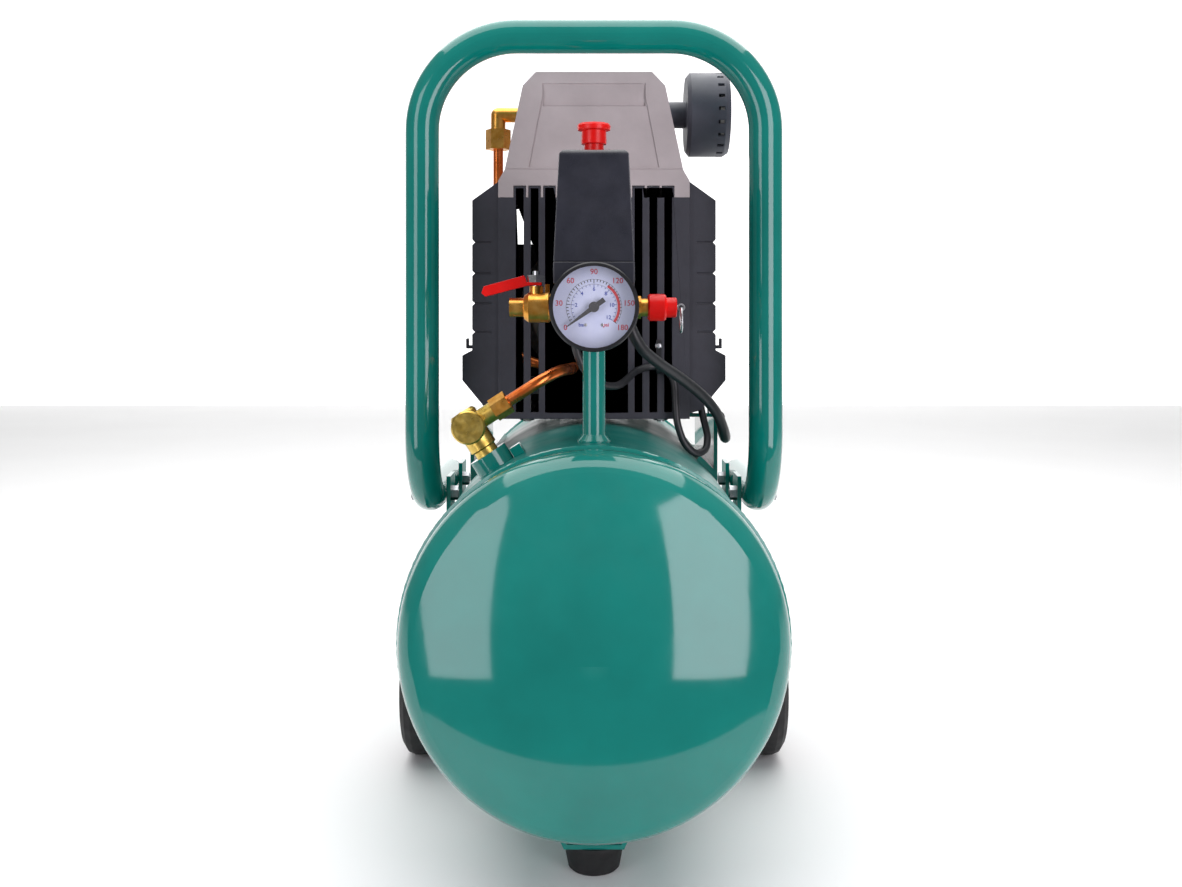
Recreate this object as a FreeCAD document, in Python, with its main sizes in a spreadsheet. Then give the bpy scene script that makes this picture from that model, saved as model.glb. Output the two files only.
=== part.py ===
import FreeCAD, Part
import math
import os

import Sketcher

# Portable workshop air compressor: a horizontal receiver on two wheels and one rubber foot, with a
# direct-driven piston pump on its deck and the pressure fittings on a riser at the front end.
# Millimetres, +Z up, front towards -Y. The origin is on the floor under the middle of the tank.

doc = FreeCAD.newDocument("AirCompressor")
vec = FreeCAD.Vector

DRIVING = {
    "tankRadius": 122.5, "tankWall": 2.5, "barrelLong": 450, "tankUp": 166,
    "crownRadius": 245, "knuckleRadius": 22, "headFlange": 6,
    "tubeRadius": 12.5, "tubeWall": 1.5, "handleHalfWide": 127.7, "handleFrontY": -85,
    "handleTopUp": 579, "handleCorner": 70, "handleRunUp": 231, "handleBend": 55, "handleBackY": 92,
    "lugFrontY": -25, "lugBackY": 60, "boltRadius": 3,
    "wheelY": 50, "wheelRadius": 62, "wheelInnerX": 126, "tyreWide": 32, "rimRadius": 44,
    "axleRadius": 6, "runningGap": 0.05,
    "riserY": -185, "riserRadius": 7.5, "footUp": 18.5, "footTopRadius": 20.3, "footBaseRadius": 17.4,
    "footY": -167,
    "deckTopUp": 295, "deckHalfWide": 97, "deckFrontY": -35, "deckBackY": 143, "sheetThick": 3,
    "mountX": 54, "mountFrontY": -5, "mountBackY": 124, "mountHigh": 14,
    "fittingUp": 377, "gaugeRadius": 27.9, "gaugeBackY": -216.5, "gaugeDeep": 24,
    "switchBaseUp": 392, "switchHalfWide": 26, "switchTopHalfWide": 22.2, "switchTopUp": 478,
    "valveTilt": 32.7, "bossY": -165, "bossRadius": 13.5, "bossTop": 133.5,
    "shaftUp": 378, "shaftRadius": 8.5, "throwLong": 18, "rodLong": 80, "pistonY": -4,
    "boreRadius": 24.1, "pistonRadius": 24, "wristRadius": 5, "cylinderBaseUp": 428, "plateUp": 492,
    "headBaseUp": 497, "headTopUp": 546, "portUp": 534, "motorRadius": 62,
    "statorFrontY": 54, "statorBackY": 116, "shroudFrontY": -60, "grilleHalfWide": 73.2,
    "grilleBaseUp": 292.5, "coverBaseUp": 462, "coverTopUp": 558, "coverBackY": 45,
    "slotPitch": 11.35, "slotWide": 6, "shellHalfWide": 93.4, "wingHalfWide": 101, "shellBackY": 95,
    "pipeRadius": 4, "pipeUpX": -77.6, "leadRadius": 4, "motorCableRadius": 2.75,
    "coilRadius": 44, "coilX": -34, "coilY": 412, "coilStub": 52,
}
SLOT_COUNT = 11


class Size:
    """A number kept together with the spreadsheet expression that gives it."""

    def __init__(self, value, text):
        self.value = float(value)
        self.text = text

    def join(self, other, sign, value):
        return Size(value, f"({self.text} {sign} {asSize(other).text})")

    def __add__(self, other):
        return self.join(other, "+", self.value + asSize(other).value)

    def __sub__(self, other):
        return self.join(other, "-", self.value - asSize(other).value)

    def __mul__(self, other):
        return self.join(other, "*", self.value * asSize(other).value)

    def __truediv__(self, other):
        return self.join(other, "/", self.value / asSize(other).value)

    def __neg__(self):
        return Size(-self.value, f"(0 - {self.text})")

    def __radd__(self, other):
        return asSize(other) + self

    def __rsub__(self, other):
        return asSize(other) - self

    def __rmul__(self, other):
        return asSize(other) * self


def asSize(number):
    if isinstance(number, Size):
        return number
    return Size(number, f"({float(number):.9g})")


def point(x, y, z):
    return vec(asSize(x).value, asSize(y).value, asSize(z).value)


def fillSheet():
    sheet = doc.addObject("Spreadsheet::Sheet", "Sizes")
    for row, (name, number) in enumerate(DRIVING.items(), 1):
        sheet.set(f"A{row}", name)
        sheet.set(f"B{row}", str(number))
        sheet.setAlias(f"B{row}", name)
    doc.recompute()
    return {name: Size(sheet.get(name), f"Sizes.{name}") for name in DRIVING}


class Sizes:
    """Driving sizes by name, as attributes."""

    def __init__(self, table):
        self.__dict__.update(table)


s = Sizes(fillSheet())
subParts = {}

UPRIGHT = FreeCAD.Rotation()
TO_FRONT = FreeCAD.Rotation(vec(1, 0, 0), 90)
TO_BACK = FreeCAD.Rotation(vec(1, 0, 0), -90)
TO_RIGHT = FreeCAD.Rotation(vec(0, 1, 0), 90)
TO_LEFT = FreeCAD.Rotation(vec(0, 1, 0), -90)
UPSIDE_DOWN = FreeCAD.Rotation(vec(0, 1, 0), 180)


# ---- building blocks ----

def bind(item, name, size):
    size = asSize(size)
    item.setExpression(name, size.text)
    return size.value


def place(item, x=0, y=0, z=0, turn=UPRIGHT):
    item.Placement = FreeCAD.Placement(point(x, y, z), turn)
    for axis, size in zip("xyz", (x, y, z)):
        bind(item, f"Placement.Base.{axis}", size)
    return item


def keep(item, label):
    """Marks an object as the sub-part of that name."""
    item.Label = label
    subParts[label] = item
    return item


def newBody(name):
    body = doc.addObject("PartDesign::Body", name)
    body.Label = name
    return body


def polygon(corners):
    """Draws a closed outline whose corner places are all driven."""
    def draw(sketch):
        spots = [(asSize(x), asSize(y)) for x, y in corners]
        first = sketch.GeometryCount
        count = len(spots)
        for here in range(count):
            start, end = spots[here], spots[(here + 1) % count]
            line = Part.LineSegment(vec(start[0].value, start[1].value, 0), vec(end[0].value, end[1].value, 0))
            sketch.addGeometry(line, False)
        for here in range(count):
            sketch.addConstraint(Sketcher.Constraint(
                "Coincident", first + here, 2, first + (here + 1) % count, 1))
        for here, (x, y) in enumerate(spots):
            drive(sketch, "DistanceX", x, -1, 1, first + here, 1)
            drive(sketch, "DistanceY", y, -1, 1, first + here, 1)
    return draw


def circle(radius, x=0, y=0):
    def draw(sketch):
        spot = vec(asSize(x).value, asSize(y).value, 0)
        ring = sketch.addGeometry(Part.Circle(spot, vec(0, 0, 1), asSize(radius).value), False)
        drive(sketch, "Radius", radius, ring)
        drive(sketch, "DistanceX", x, -1, 1, ring, 3)
        drive(sketch, "DistanceY", y, -1, 1, ring, 3)
    return draw


def drive(sketch, kind, size, *ends):
    size = asSize(size)
    index = sketch.addConstraint(Sketcher.Constraint(kind, *ends, size.value))
    sketch.renameConstraint(index, f"size{index}")
    sketch.setExpression(f"Constraints.size{index}", size.text)


def rectangle(x0, y0, x1, y1):
    return polygon([(x0, y0), (x1, y0), (x1, y1), (x0, y1)])


def hexagon(acrossFlats, x=0, y=0):
    reach = asSize(acrossFlats) / math.sqrt(3)
    turns = [math.radians(60 * step) for step in range(6)]
    return polygon([(x + reach * math.cos(a), y + reach * math.sin(a)) for a in turns])


def newSketch(body, plane, height, outlines):
    """Sketch on one of the body's own planes, at that height along X, Y or Z."""
    sketch = body.newObject("Sketcher::SketchObject", body.Name + "Sketch")
    support = next(f for f in body.Origin.OriginFeatures if f.Role == plane + "_Plane")
    sketch.AttachmentSupport = (support, [""])
    sketch.MapMode = "FlatFace"
    height = -asSize(height) if plane == "XZ" else asSize(height)
    bind(sketch, "AttachmentOffset.Base.z", height)
    for draw in outlines:
        draw(sketch)
    return sketch


def slab(body, plane, low, high, *outlines):
    """Pads the outlines from low to high along the plane's normal axis."""
    pad = body.newObject("PartDesign::Pad", body.Name + "Pad")
    pad.Profile = newSketch(body, plane, low, outlines)
    pad.Reversed = plane == "XZ"
    bind(pad, "Length", asSize(high) - low)
    return pad


def hollow(body, plane, low, high, *outlines):
    """Pockets the outlines from low to high along the plane's normal axis."""
    pocket = body.newObject("PartDesign::Pocket", body.Name + "Pocket")
    pocket.Profile = newSketch(body, plane, low, outlines)
    pocket.Reversed = plane != "XZ"
    bind(pocket, "Length", asSize(high) - low)
    return pocket


def revolve(body, profile):
    """Turns a profile of (radius, height) corners about the body's own Z axis."""
    sketch = newSketch(body, "XZ", 0, [polygon(profile)])
    turned = body.newObject("PartDesign::Revolution", body.Name + "Turned")
    turned.Profile = sketch
    turned.ReferenceAxis = (sketch, ["V_Axis"])
    turned.Angle = 360
    return turned


def turnedPart(label, profile, x=0, y=0, z=0, turn=UPRIGHT):
    body = newBody(label)
    revolve(body, profile)
    return place(body, x, y, z, turn)


def ring(inner, outer, low, high):
    return [(inner, low), (outer, low), (outer, high), (inner, high)]


def lineRepeat(body, feature, axis, step, count):
    """Repeats one feature count times along a body axis, step apart."""
    pattern = body.newObject("PartDesign::LinearPattern", body.Name + "Repeat")
    pattern.Originals = [feature]
    direction = next(f for f in body.Origin.OriginFeatures if f.Role == axis + "_Axis")
    pattern.Direction = (direction, [""])
    bind(pattern, "Length", asSize(step) * (count - 1))
    pattern.Occurrences = count
    body.Tip = pattern
    return pattern


def roundRepeat(body, feature, axis, count):
    pattern = body.newObject("PartDesign::PolarPattern", body.Name + "Repeat")
    pattern.Originals = [feature]
    direction = next(f for f in body.Origin.OriginFeatures if f.Role == axis + "_Axis")
    pattern.Axis = (direction, [""])
    pattern.Angle = 360
    pattern.Occurrences = count
    body.Tip = pattern
    return pattern


def roundEdges(body, radius, choose):
    """Rounds the edges whose middle point and direction the rule picks."""
    doc.recompute()
    names = []
    for number, edge in enumerate(body.Shape.Edges, 1):
        middle = body.Placement.inverse().multVec(edge.valueAt((edge.FirstParameter + edge.LastParameter) / 2))
        if choose(middle, edge):
            names.append(f"Edge{number}")
    fillet = body.newObject("PartDesign::Fillet", body.Name + "Round")
    fillet.Base = (body.Tip if body.Tip != fillet else fillet.BaseFeature, names)
    bind(fillet, "Radius", radius)
    body.Tip = fillet
    return fillet


def cylinder(name, radius, high, x=0, y=0, z=0, turn=UPRIGHT):
    rod = doc.addObject("Part::Cylinder", name)
    rod.Radius = bind(rod, "Radius", radius)
    rod.Height = bind(rod, "Height", high)
    return place(rod, x, y, z, turn)


def sphere(name, radius, x, y, z):
    ball = doc.addObject("Part::Sphere", name)
    ball.Radius = bind(ball, "Radius", radius)
    return place(ball, x, y, z)


def cutAway(label, base, *tools):
    for tool in tools:
        cut = doc.addObject("Part::Cut", label + "Cut")
        cut.Base = base
        cut.Tool = tool
        base = cut
    return base


def fused(label, *members):
    union = doc.addObject("Part::MultiFuse", label + "Fuse")
    union.Shapes = list(members)
    return union


def grouped(label, members):
    """One node of several separate solids."""
    group = doc.addObject("Part::Compound", label)
    group.Links = members
    return keep(group, label)


TANK_FORM = cylinder("TankForm", s.tankRadius, s.barrelLong, 0, -s.barrelLong / 2, s.tankUp, TO_BACK)


def fitToTank(label, item):
    """Trims a welded piece to the tank's outer surface."""
    return cutAway(label, item, TANK_FORM)


def shapeFeature(label, shape):
    feature = doc.addObject("Part::Feature", label)
    feature.Shape = shape
    feature.Placement = FreeCAD.Placement()
    return feature


# ---- routes of tubes and cables ----

def cordRadii(points):
    """As large an arc at each inner point as its two runs leave room for."""
    radii = []
    for before, here, after in zip(points, points[1:], points[2:]):
        turn = (here - before).getAngle(after - here)
        shorter = min((here - before).Length, (after - here).Length)
        radii.append(0.45 * shorter / math.tan(turn / 2))
    return radii


def routeWire(points, radii):
    """Straight runs joined by tangent arcs."""
    edges = []
    last = points[0]
    for before, here, after, radius in zip(points, points[1:], points[2:], radii):
        arriving = (here - before).normalize()
        leaving = (after - here).normalize()
        turn = arriving.getAngle(leaving)
        setBack = radius * math.tan(turn / 2)
        start = here - arriving * setBack
        end = here + leaving * setBack
        inward = (leaving - arriving).normalize()
        middle = here + inward * (radius / math.cos(turn / 2) - radius)
        edges.append(Part.LineSegment(last, start).toShape())
        edges.append(Part.Arc(start, middle, end).toShape())
        last = end
    edges.append(Part.LineSegment(last, points[-1]).toShape())
    return Part.Wire(edges)


def rodAlong(points, radii, radius):
    path = routeWire(points, radii)
    heading = points[1] - points[0]
    section = Part.Wire([Part.Circle(points[0], heading, radius).toShape()])
    return path, path.makePipeShell([section], True, False)


def cordShape(name, route, size):
    """A cord's plain tube, checked against its section times its length."""
    points = [point(*spot) for spot in route]
    radii = cordRadii(points)
    path, shape = rodAlong(points, radii, size.value)
    expected = math.pi * size.value ** 2 * path.Length
    print(f"{name}: {path.Length:.1f} mm long, volume over section x length {shape.Volume / expected:.4f}")
    print("  bend radii in diameters:", " ".join(f"{radius / size.value / 2:.1f}" for radius in radii))
    return shape


# ---- tank and stand ----

def tankBarrel():
    body = newBody("tank_barrel")
    half = s.barrelLong / 2
    slab(body, "XZ", -half, half, circle(s.tankRadius, 0, s.tankUp), circle(s.tankRadius - s.tankWall, 0, s.tankUp))
    hollow(body, "XY", s.tankUp + 100, s.tankUp + 130, circle(4.5, 0, s.riserY))
    keep(body, "tank_barrel")


def headShape():
    """Torispherical shell about Z, its rim at height 0 and its crown upwards."""
    def solid(outer, crown, knuckle):
        centre = math.sqrt((crown - knuckle) ** 2 - (outer - knuckle) ** 2)
        lean = math.asin((outer - knuckle) / (crown - knuckle))
        flange = s.headFlange.value
        low = flange - centre
        join = vec(crown * math.sin(lean), 0, low + crown * math.cos(lean))
        side = vec(outer, 0, flange)
        tip = vec(0, 0, low + crown)
        halfLean = (math.pi / 2 + lean) / 2
        bend = vec(outer - knuckle + knuckle * math.sin(halfLean), 0, flange + knuckle * math.cos(halfLean))
        dome = vec(crown * math.sin(lean / 2), 0, low + crown * math.cos(lean / 2))
        edges = [
            Part.LineSegment(vec(0, 0, 0), vec(outer, 0, 0)).toShape(),
            Part.LineSegment(vec(outer, 0, 0), side).toShape(),
            Part.Arc(side, bend, join).toShape(),
            Part.Arc(join, dome, tip).toShape(),
            Part.LineSegment(tip, vec(0, 0, 0)).toShape(),
        ]
        return Part.Face(Part.Wire(edges)).revolve(vec(0, 0, 0), vec(0, 0, 1), 360)
    wall = s.tankWall.value
    crown, knuckle, outer = s.crownRadius.value, s.knuckleRadius.value, s.tankRadius.value
    return solid(outer, crown, knuckle).cut(solid(outer - wall, crown - wall, knuckle - wall))


def tankHeads():
    half = s.barrelLong / 2
    front = shapeFeature("HeadFront", headShape())
    place(front, 0, -half, s.tankUp, TO_FRONT)
    rear = shapeFeature("HeadRear", headShape())
    place(rear, 0, half, s.tankUp, TO_BACK)
    grouped("tank_heads", [front, rear])


def riserPipe():
    low = s.tankUp + s.tankRadius - 2
    weld = 3.5
    profile = [(4.5, low), (s.riserRadius + weld, low), (s.riserRadius + weld, low + 3),
               (s.riserRadius, low + 7), (s.riserRadius, s.fittingUp - 17), (4.5, s.fittingUp - 17)]
    pipe = turnedPart("RiserTurned", profile, 0, s.riserY, 0)
    keep(fitToTank("riser", pipe), "riser_pipe")


def tankBosses():
    tilt = FreeCAD.Rotation(vec(0, 1, 0), -s.valveTilt.value)
    inlet = turnedPart("InletBoss", ring(8, s.bossRadius, 112, s.bossTop), 0, s.bossY, s.tankUp, tilt)
    drain = turnedPart("DrainBoss", ring(5, 11, 112, 130), 0, -20, s.tankUp, UPSIDE_DOWN)
    tab = newBody("InletTab")
    slab(tab, "XY", 112, 128, rectangle(14.5, -5, 22, 5))
    place(tab, 0, s.bossY, s.tankUp, tilt)
    grouped("tank_bosses", [fitToTank(item.Name, item) for item in (inlet, drain, tab)])


def standBrackets():
    foot = newBody("FootBracket")
    low, thick = s.footUp, s.sheetThick
    slab(foot, "XZ", s.footY - 18, s.footY + 18, polygon([
        (-20, low), (20, low), (35, low + 34), (32, low + 34), (18.2, low + thick),
        (-18.2, low + thick), (-32, low + 34), (-35, low + 34)]))
    hollow(foot, "XY", low - 1, low + thick + 1, circle(3.2, 0, s.footY))
    members = [fitToTank("footBracket", foot)]
    for side, name in ((1, "Right"), (-1, "Left")):
        plate = newBody("AxleBracket" + name)
        slab(plate, "XZ", s.wheelY - 28, s.wheelY + 28, polygon([
            (side * x, z) for x, z in (
                (117, 40), (120, 40), (120, 138), (117, 138), (117, 76), (75, 76), (75, 73), (117, 73))]))
        low, high = sorted((side * 116, side * 121))
        hollow(plate, "YZ", low, high, circle(s.axleRadius, s.wheelY, s.wheelRadius))
        members.append(fitToTank("axleBracket" + name, plate))
    grouped("stand_brackets", members)


def motorDeck():
    body = newBody("Deck")
    wide, top, thick = s.deckHalfWide, s.deckTopUp, s.sheetThick
    right = [(wide - thick, top - thick), (wide - thick, top - 44), (83, top - 33), (79, top - 40),
             (wide, top - 57), (wide, top)]
    left = [(-x, z) for x, z in reversed(right)]
    slab(body, "XZ", s.deckFrontY, s.deckBackY, polygon(right + left))
    holes = [circle(3.3, x, y) for x in (s.mountX, -s.mountX) for y in (s.mountFrontY, s.mountBackY)]
    hollow(body, "XY", top - thick - 1, top + 1, *holes)
    hollow(body, "XY", top - thick - 1, top + 1, rectangle(-32, 20, 32, 95))
    keep(fitToTank("deck", body), "motor_deck")


def handleLugs():
    members = []
    inner = s.handleHalfWide - s.tubeRadius
    for side, name in ((1, "Right"), (-1, "Left")):
        for lugY, end in ((s.lugFrontY, "Front"), (s.lugBackY, "Back")):
            lug = newBody("Lug" + name + end)
            x0, x1 = sorted((side * (inner - 3.2), side * inner), key=lambda size: size.value)
            slab(lug, "XZ", lugY - 15, lugY + 15, rectangle(x0, 205, x1, 246))
            hollow(lug, "YZ", x0 - 1, x1 + 1, circle(s.boltRadius + 0.2, lugY, s.handleRunUp))
            members.append(fitToTank("lug" + name + end, lug))
    grouped("handle_lugs", members)


def handleLoop():
    wide, front, back = s.handleHalfWide.value, s.handleFrontY.value, s.handleBackY.value
    top, low = s.handleTopUp.value, s.handleRunUp.value
    points = [vec(wide, back, low), vec(wide, front, low), vec(wide, front, top),
              vec(-wide, front, top), vec(-wide, front, low), vec(-wide, back, low)]
    radii = [s.handleBend.value, s.handleCorner.value, s.handleCorner.value, s.handleBend.value]
    outer = rodAlong(points, radii, s.tubeRadius.value)[1]
    inner = rodAlong(points, radii, s.tubeRadius.value - s.tubeWall.value)[1]
    tube = shapeFeature("HandleTube", outer.cut(inner))
    drills = [cylinder("Drill", s.boltRadius + 0.2, 300, -150, lugY, s.handleRunUp, TO_RIGHT)
              for lugY in (s.lugFrontY, s.lugBackY)]
    keep(cutAway("handle", tube, *drills), "handle_loop")


def hexBolt(name, shank, under, head, flats):
    """Bolt along its own Z: shank from -under to 0, hexagon head above."""
    bolt = newBody(name)
    slab(bolt, "XY", 0, head, hexagon(flats))
    slab(bolt, "XY", -asSize(under), 0, circle(shank))
    return bolt


def hexNut(name, bore, thick, flats):
    nut = newBody(name)
    slab(nut, "XY", 0, thick, hexagon(flats), circle(bore))
    return nut


def handleBolts():
    members = []
    outer = s.handleHalfWide + s.tubeRadius
    inner = s.handleHalfWide - s.tubeRadius - 3.2
    for side, turn in ((1, TO_RIGHT), (-1, TO_LEFT)):
        for lugY in (s.lugFrontY, s.lugBackY):
            bolt = hexBolt("HandleBolt", s.boltRadius, outer - inner + 5, 4, 10)
            members.append(place(bolt, side * outer, lugY, s.handleRunUp, turn))
            nut = hexNut("HandleNut", s.boltRadius, 4.5, 10)
            members.append(place(nut, side * (inner - 4.5), lugY, s.handleRunUp, turn))
    grouped("handle_bolts", members)


def frontFoot():
    profile = [(3.3, 8), (8.5, 8), (8.5, 0), (s.footBaseRadius - 1.5, 0), (s.footBaseRadius, 1.5),
               (s.footTopRadius, s.footUp - 2), (s.footTopRadius, s.footUp), (3.3, s.footUp)]
    keep(turnedPart("front_foot", profile, 0, s.footY, 0), "front_foot")


def mountingBolts():
    members = []
    footTop = s.deckTopUp + s.mountHigh + 9
    for x in (s.mountX, -s.mountX):
        for y in (s.mountFrontY, s.mountBackY):
            bolt = hexBolt("DeckBolt", 3, footTop - s.deckTopUp + s.sheetThick + 6, 4, 10)
            members.append(place(bolt, x, y, footTop))
            nut = hexNut("DeckNut", 3, 5, 10)
            members.append(place(nut, x, y, s.deckTopUp - s.sheetThick - 5))
    bolt = hexBolt("FootBolt", 3, s.footUp + s.sheetThick - 2, 4, 10)
    members.append(place(bolt, 0, s.footY, 8, UPSIDE_DOWN))
    nut = hexNut("FootNut", 3, 5, 10)
    members.append(place(nut, 0, s.footY, s.footUp + s.sheetThick))
    grouped("mounting_bolts", members)


def wheelAxles():
    """Shoulder axles, fixed in their brackets; the wheels turn on them."""
    members = []
    hubOuter = s.wheelInnerX + s.tyreWide - 3
    for turn, name in ((TO_RIGHT, "Right"), (TO_LEFT, "Left")):
        profile = [(0, 108), (10, 108), (10, 117), (s.axleRadius, 117), (s.axleRadius, 120), (9, 120),
                   (9, s.wheelInnerX + 0.7), (s.axleRadius, s.wheelInnerX + 0.7), (s.axleRadius, hubOuter + 0.5),
                   (10, hubOuter + 0.5), (10, hubOuter + 3), (7, hubOuter + 4.5), (0, hubOuter + 4.5)]
        members.append(turnedPart("Axle" + name, profile, 0, s.wheelY, s.wheelRadius, turn))
    grouped("wheel_axles", members)


def wheel(side):
    turn = TO_RIGHT if side == "right" else TO_LEFT
    inner = s.wheelInnerX
    outer = inner + s.tyreWide
    bore = s.axleRadius + s.runningGap
    hub = newBody("wheel_hub_" + side)
    revolve(hub, [(bore, inner + 1), (14, inner + 1), (14, inner + 12), (s.rimRadius - 5, inner + 12),
                  (s.rimRadius - 5, inner + 3), (s.rimRadius, inner + 3), (s.rimRadius, outer - 3),
                  (s.rimRadius - 5, outer - 3), (s.rimRadius - 5, inner + 18), (14, inner + 18),
                  (14, outer - 3), (bore, outer - 3)])
    window = hollow(hub, "XY", inner + 10, inner + 20, circle(6.5, 26, 0))
    roundRepeat(hub, window, "Z", 6)
    keep(place(hub, 0, s.wheelY, s.wheelRadius, turn), "wheel_hub_" + side)
    tyre = newBody("wheel_tyre_" + side)
    shoulder = 6
    revolve(tyre, [(s.rimRadius, inner + 2), (s.rimRadius + 6, inner), (s.wheelRadius - shoulder - 2, inner),
                   (s.wheelRadius - 2, inner + shoulder - 2), (s.wheelRadius, inner + shoulder + 3),
                   (s.wheelRadius, outer - shoulder - 3), (s.wheelRadius - 2, outer - shoulder + 2),
                   (s.wheelRadius - shoulder - 2, outer), (s.rimRadius + 6, outer), (s.rimRadius, outer - 2)])
    keep(place(tyre, 0, s.wheelY, s.wheelRadius, turn), "wheel_tyre_" + side)


def drainCock():
    top = s.tankUp - 130
    body = newBody("drain_cock_body")
    slab(body, "XY", top - 8, top, hexagon(16))
    slab(body, "XY", top - 16, top - 8, circle(7))
    hollow(body, "XY", top - 17, top - 3, circle(3 + s.runningGap))
    keep(place(body, 0, -20, 0), "drain_cock_body")
    screw = newBody("drain_cock_screw")
    slab(screw, "XY", top - 24, top - 16.5, circle(8))
    slab(screw, "XY", top - 16.5, top - 5, circle(3))
    notch = hollow(screw, "XY", top - 25, top - 16, circle(1.6, 8.4, 0))
    roundRepeat(screw, notch, "Z", 8)
    keep(place(screw, 0, -20, 0), "drain_cock_screw")


# ---- pressure fittings on the riser ----

def manifold():
    low, up, top = s.fittingUp - 17, s.fittingUp, s.switchBaseUp
    block = newBody("ManifoldBlock")
    slab(block, "XY", low, low + 8, hexagon(24))
    slab(block, "XY", low + 8, top, circle(12))
    place(block, 0, s.riserY, 0)
    arms = [cylinder("ManifoldArm", 8, 22, 0, s.riserY, up, TO_LEFT),
            cylinder("ManifoldArm", 8, 24, 0, s.riserY, up, TO_RIGHT),
            cylinder("ManifoldArm", 7, s.riserY - s.gaugeBackY - 3, 0, s.riserY, up, TO_FRONT)]
    bores = [cylinder("ManifoldBore", 4, 40, 0, s.riserY, low - 1),
             cylinder("ManifoldBore", 4, 60, -30, s.riserY, up, TO_RIGHT),
             cylinder("ManifoldBore", 3, 20, 0, s.riserY, up, TO_FRONT)]
    keep(cutAway("manifold", fused("manifold", block, *arms), *bores), "manifold")


def gauge():
    spot = (0, s.gaugeBackY, s.fittingUp, TO_FRONT)
    radius, deep = s.gaugeRadius, s.gaugeDeep
    well = radius - 2
    case = [(0, -3), (6.5, -3), (6.5, 0), (radius - 2, 0), (radius - 1.2, 1), (radius - 1.2, deep - 6),
            (radius, deep - 5.5), (radius, deep - 0.8), (radius - 0.8, deep), (well - 0.6, deep),
            (well - 0.6, deep - 2), (well, deep - 2), (well, 2), (0, 2)]
    keep(turnedPart("gauge_case", case, *spot), "gauge_case")
    keep(turnedPart("gauge_dial", ring(1.2, well, 11, 12), *spot), "gauge_dial")
    keep(turnedPart("gauge_glass", ring(0, well, deep - 3.5, deep - 2), *spot), "gauge_glass")
    needle = newBody("gauge_needle")
    slab(needle, "XY", 10, 15, circle(0.8))
    slab(needle, "XY", 15, 16.2, circle(3.3))
    slab(needle, "XY", 15.2, 15.9, polygon([(-8, -1.6), (0, -1.6), (20, -0.4), (21.5, 0), (20, 0.4),
                                            (0, 1.6), (-8, 1.6)]))
    zeroMark = FreeCAD.Rotation(vec(0, 0, 1), 216)
    place(needle, *spot[:3], TO_FRONT.multiply(zeroMark))
    keep(needle, "gauge_needle")


def ballValve():
    stemX = -38
    up = s.fittingUp
    outside = [(0, 22), (9.2, 22), (9.2, 29), (10, 30), (10, 43), (8, 46), (6.3, 46.5), (6.3, 55.7), (0, 55.7)]
    body = turnedPart("ValveBody", outside, 0, s.riserY, up, TO_LEFT)
    column = cylinder("ValveColumn", 4.6, 14, stemX, s.riserY, up)
    post = cylinder("ValvePost", 1.6, 15.5, -31, s.riserY + 4, up)
    bore = cylinder("ValveBore", 4, 60, -60, s.riserY, up, TO_RIGHT)
    stemBore = cylinder("ValveStemBore", 2.4 + s.runningGap, 20, stemX, s.riserY, up)
    seat = sphere("ValveSeat", 6.2, stemX, s.riserY, up)
    keep(cutAway("valve", fused("valve", body, column, post), bore, stemBore, seat), "ball_valve_body")
    ball = sphere("ValveBall", 6.1, stemX, s.riserY, up)
    ballBore = cylinder("BallBore", 4, 20, stemX - 10, s.riserY, up, TO_RIGHT)
    stem = cylinder("ValveStem", 2.4, 24, stemX, s.riserY, up)
    throat = cylinder("StemThroat", 4, 7, stemX + 3.5, s.riserY, up, TO_LEFT)
    nut = hexNut("LeverNut", 2.4, 4.8, 11.5)
    place(nut, stemX, s.riserY, up + 16.5, FreeCAD.Rotation(vec(0, 0, 1), 30))
    keep(fused("stem", cutAway("ball", ball, ballBore), cutAway("stem", stem, throat), nut), "ball_valve_stem")
    lever = newBody("valve_lever")
    slab(lever, "XZ", -5, 5, polygon([
        (-34.5, 14.5), (-43.5, 14.5), (-71.5, 7.2), (-74, 9.5), (-72.5, 13.8), (-46, 21), (-44.2, 16.5),
        (-34.5, 16.5)]))
    hollow(lever, "XY", 10, 25, circle(2.4, stemX, 0))
    keep(place(lever, 0, s.riserY, up), "valve_lever")


def safetyValve():
    up = s.fittingUp
    body = newBody("safety_valve_body")
    slab(body, "XY", 24, 31, hexagon(13))
    slab(body, "XY", 31, 35.5, circle(6))
    hollow(body, "XY", 23, 33, circle(3))
    keep(place(body, 0, s.riserY, up, TO_RIGHT), "safety_valve_body")
    cap = turnedPart("safety_valve_cap", [
        (1.6, 35.5), (7.8, 35.5), (8.9, 36.6), (8.9, 46.4), (7.9, 47.6), (6.6, 47.8), (6.6, 54), (6, 54.6),
        (1.6, 54.6)], 0, s.riserY, up, TO_RIGHT)
    keep(cap, "safety_valve_cap")
    eyeX = 57.6
    pin = cylinder("PullPin", 1.5, eyeX - 42, 42, s.riserY, up, TO_RIGHT)
    eye = cylinder("PullEye", 2.6, 4, eyeX, s.riserY + 2, up, TO_FRONT)
    eyeHole = cylinder("PullEyeHole", 1.5, 6, eyeX, s.riserY + 3, up, TO_FRONT)
    keep(cutAway("pull", fused("pull", pin, eye), eyeHole), "safety_valve_pin")
    loop = doc.addObject("Part::Torus", "safety_valve_ring")
    loop.Radius1 = 8.2
    loop.Radius2 = 0.85
    place(loop, eyeX, s.riserY, up - loop.Radius1.Value, TO_RIGHT)
    keep(loop, "safety_valve_ring")


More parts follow.
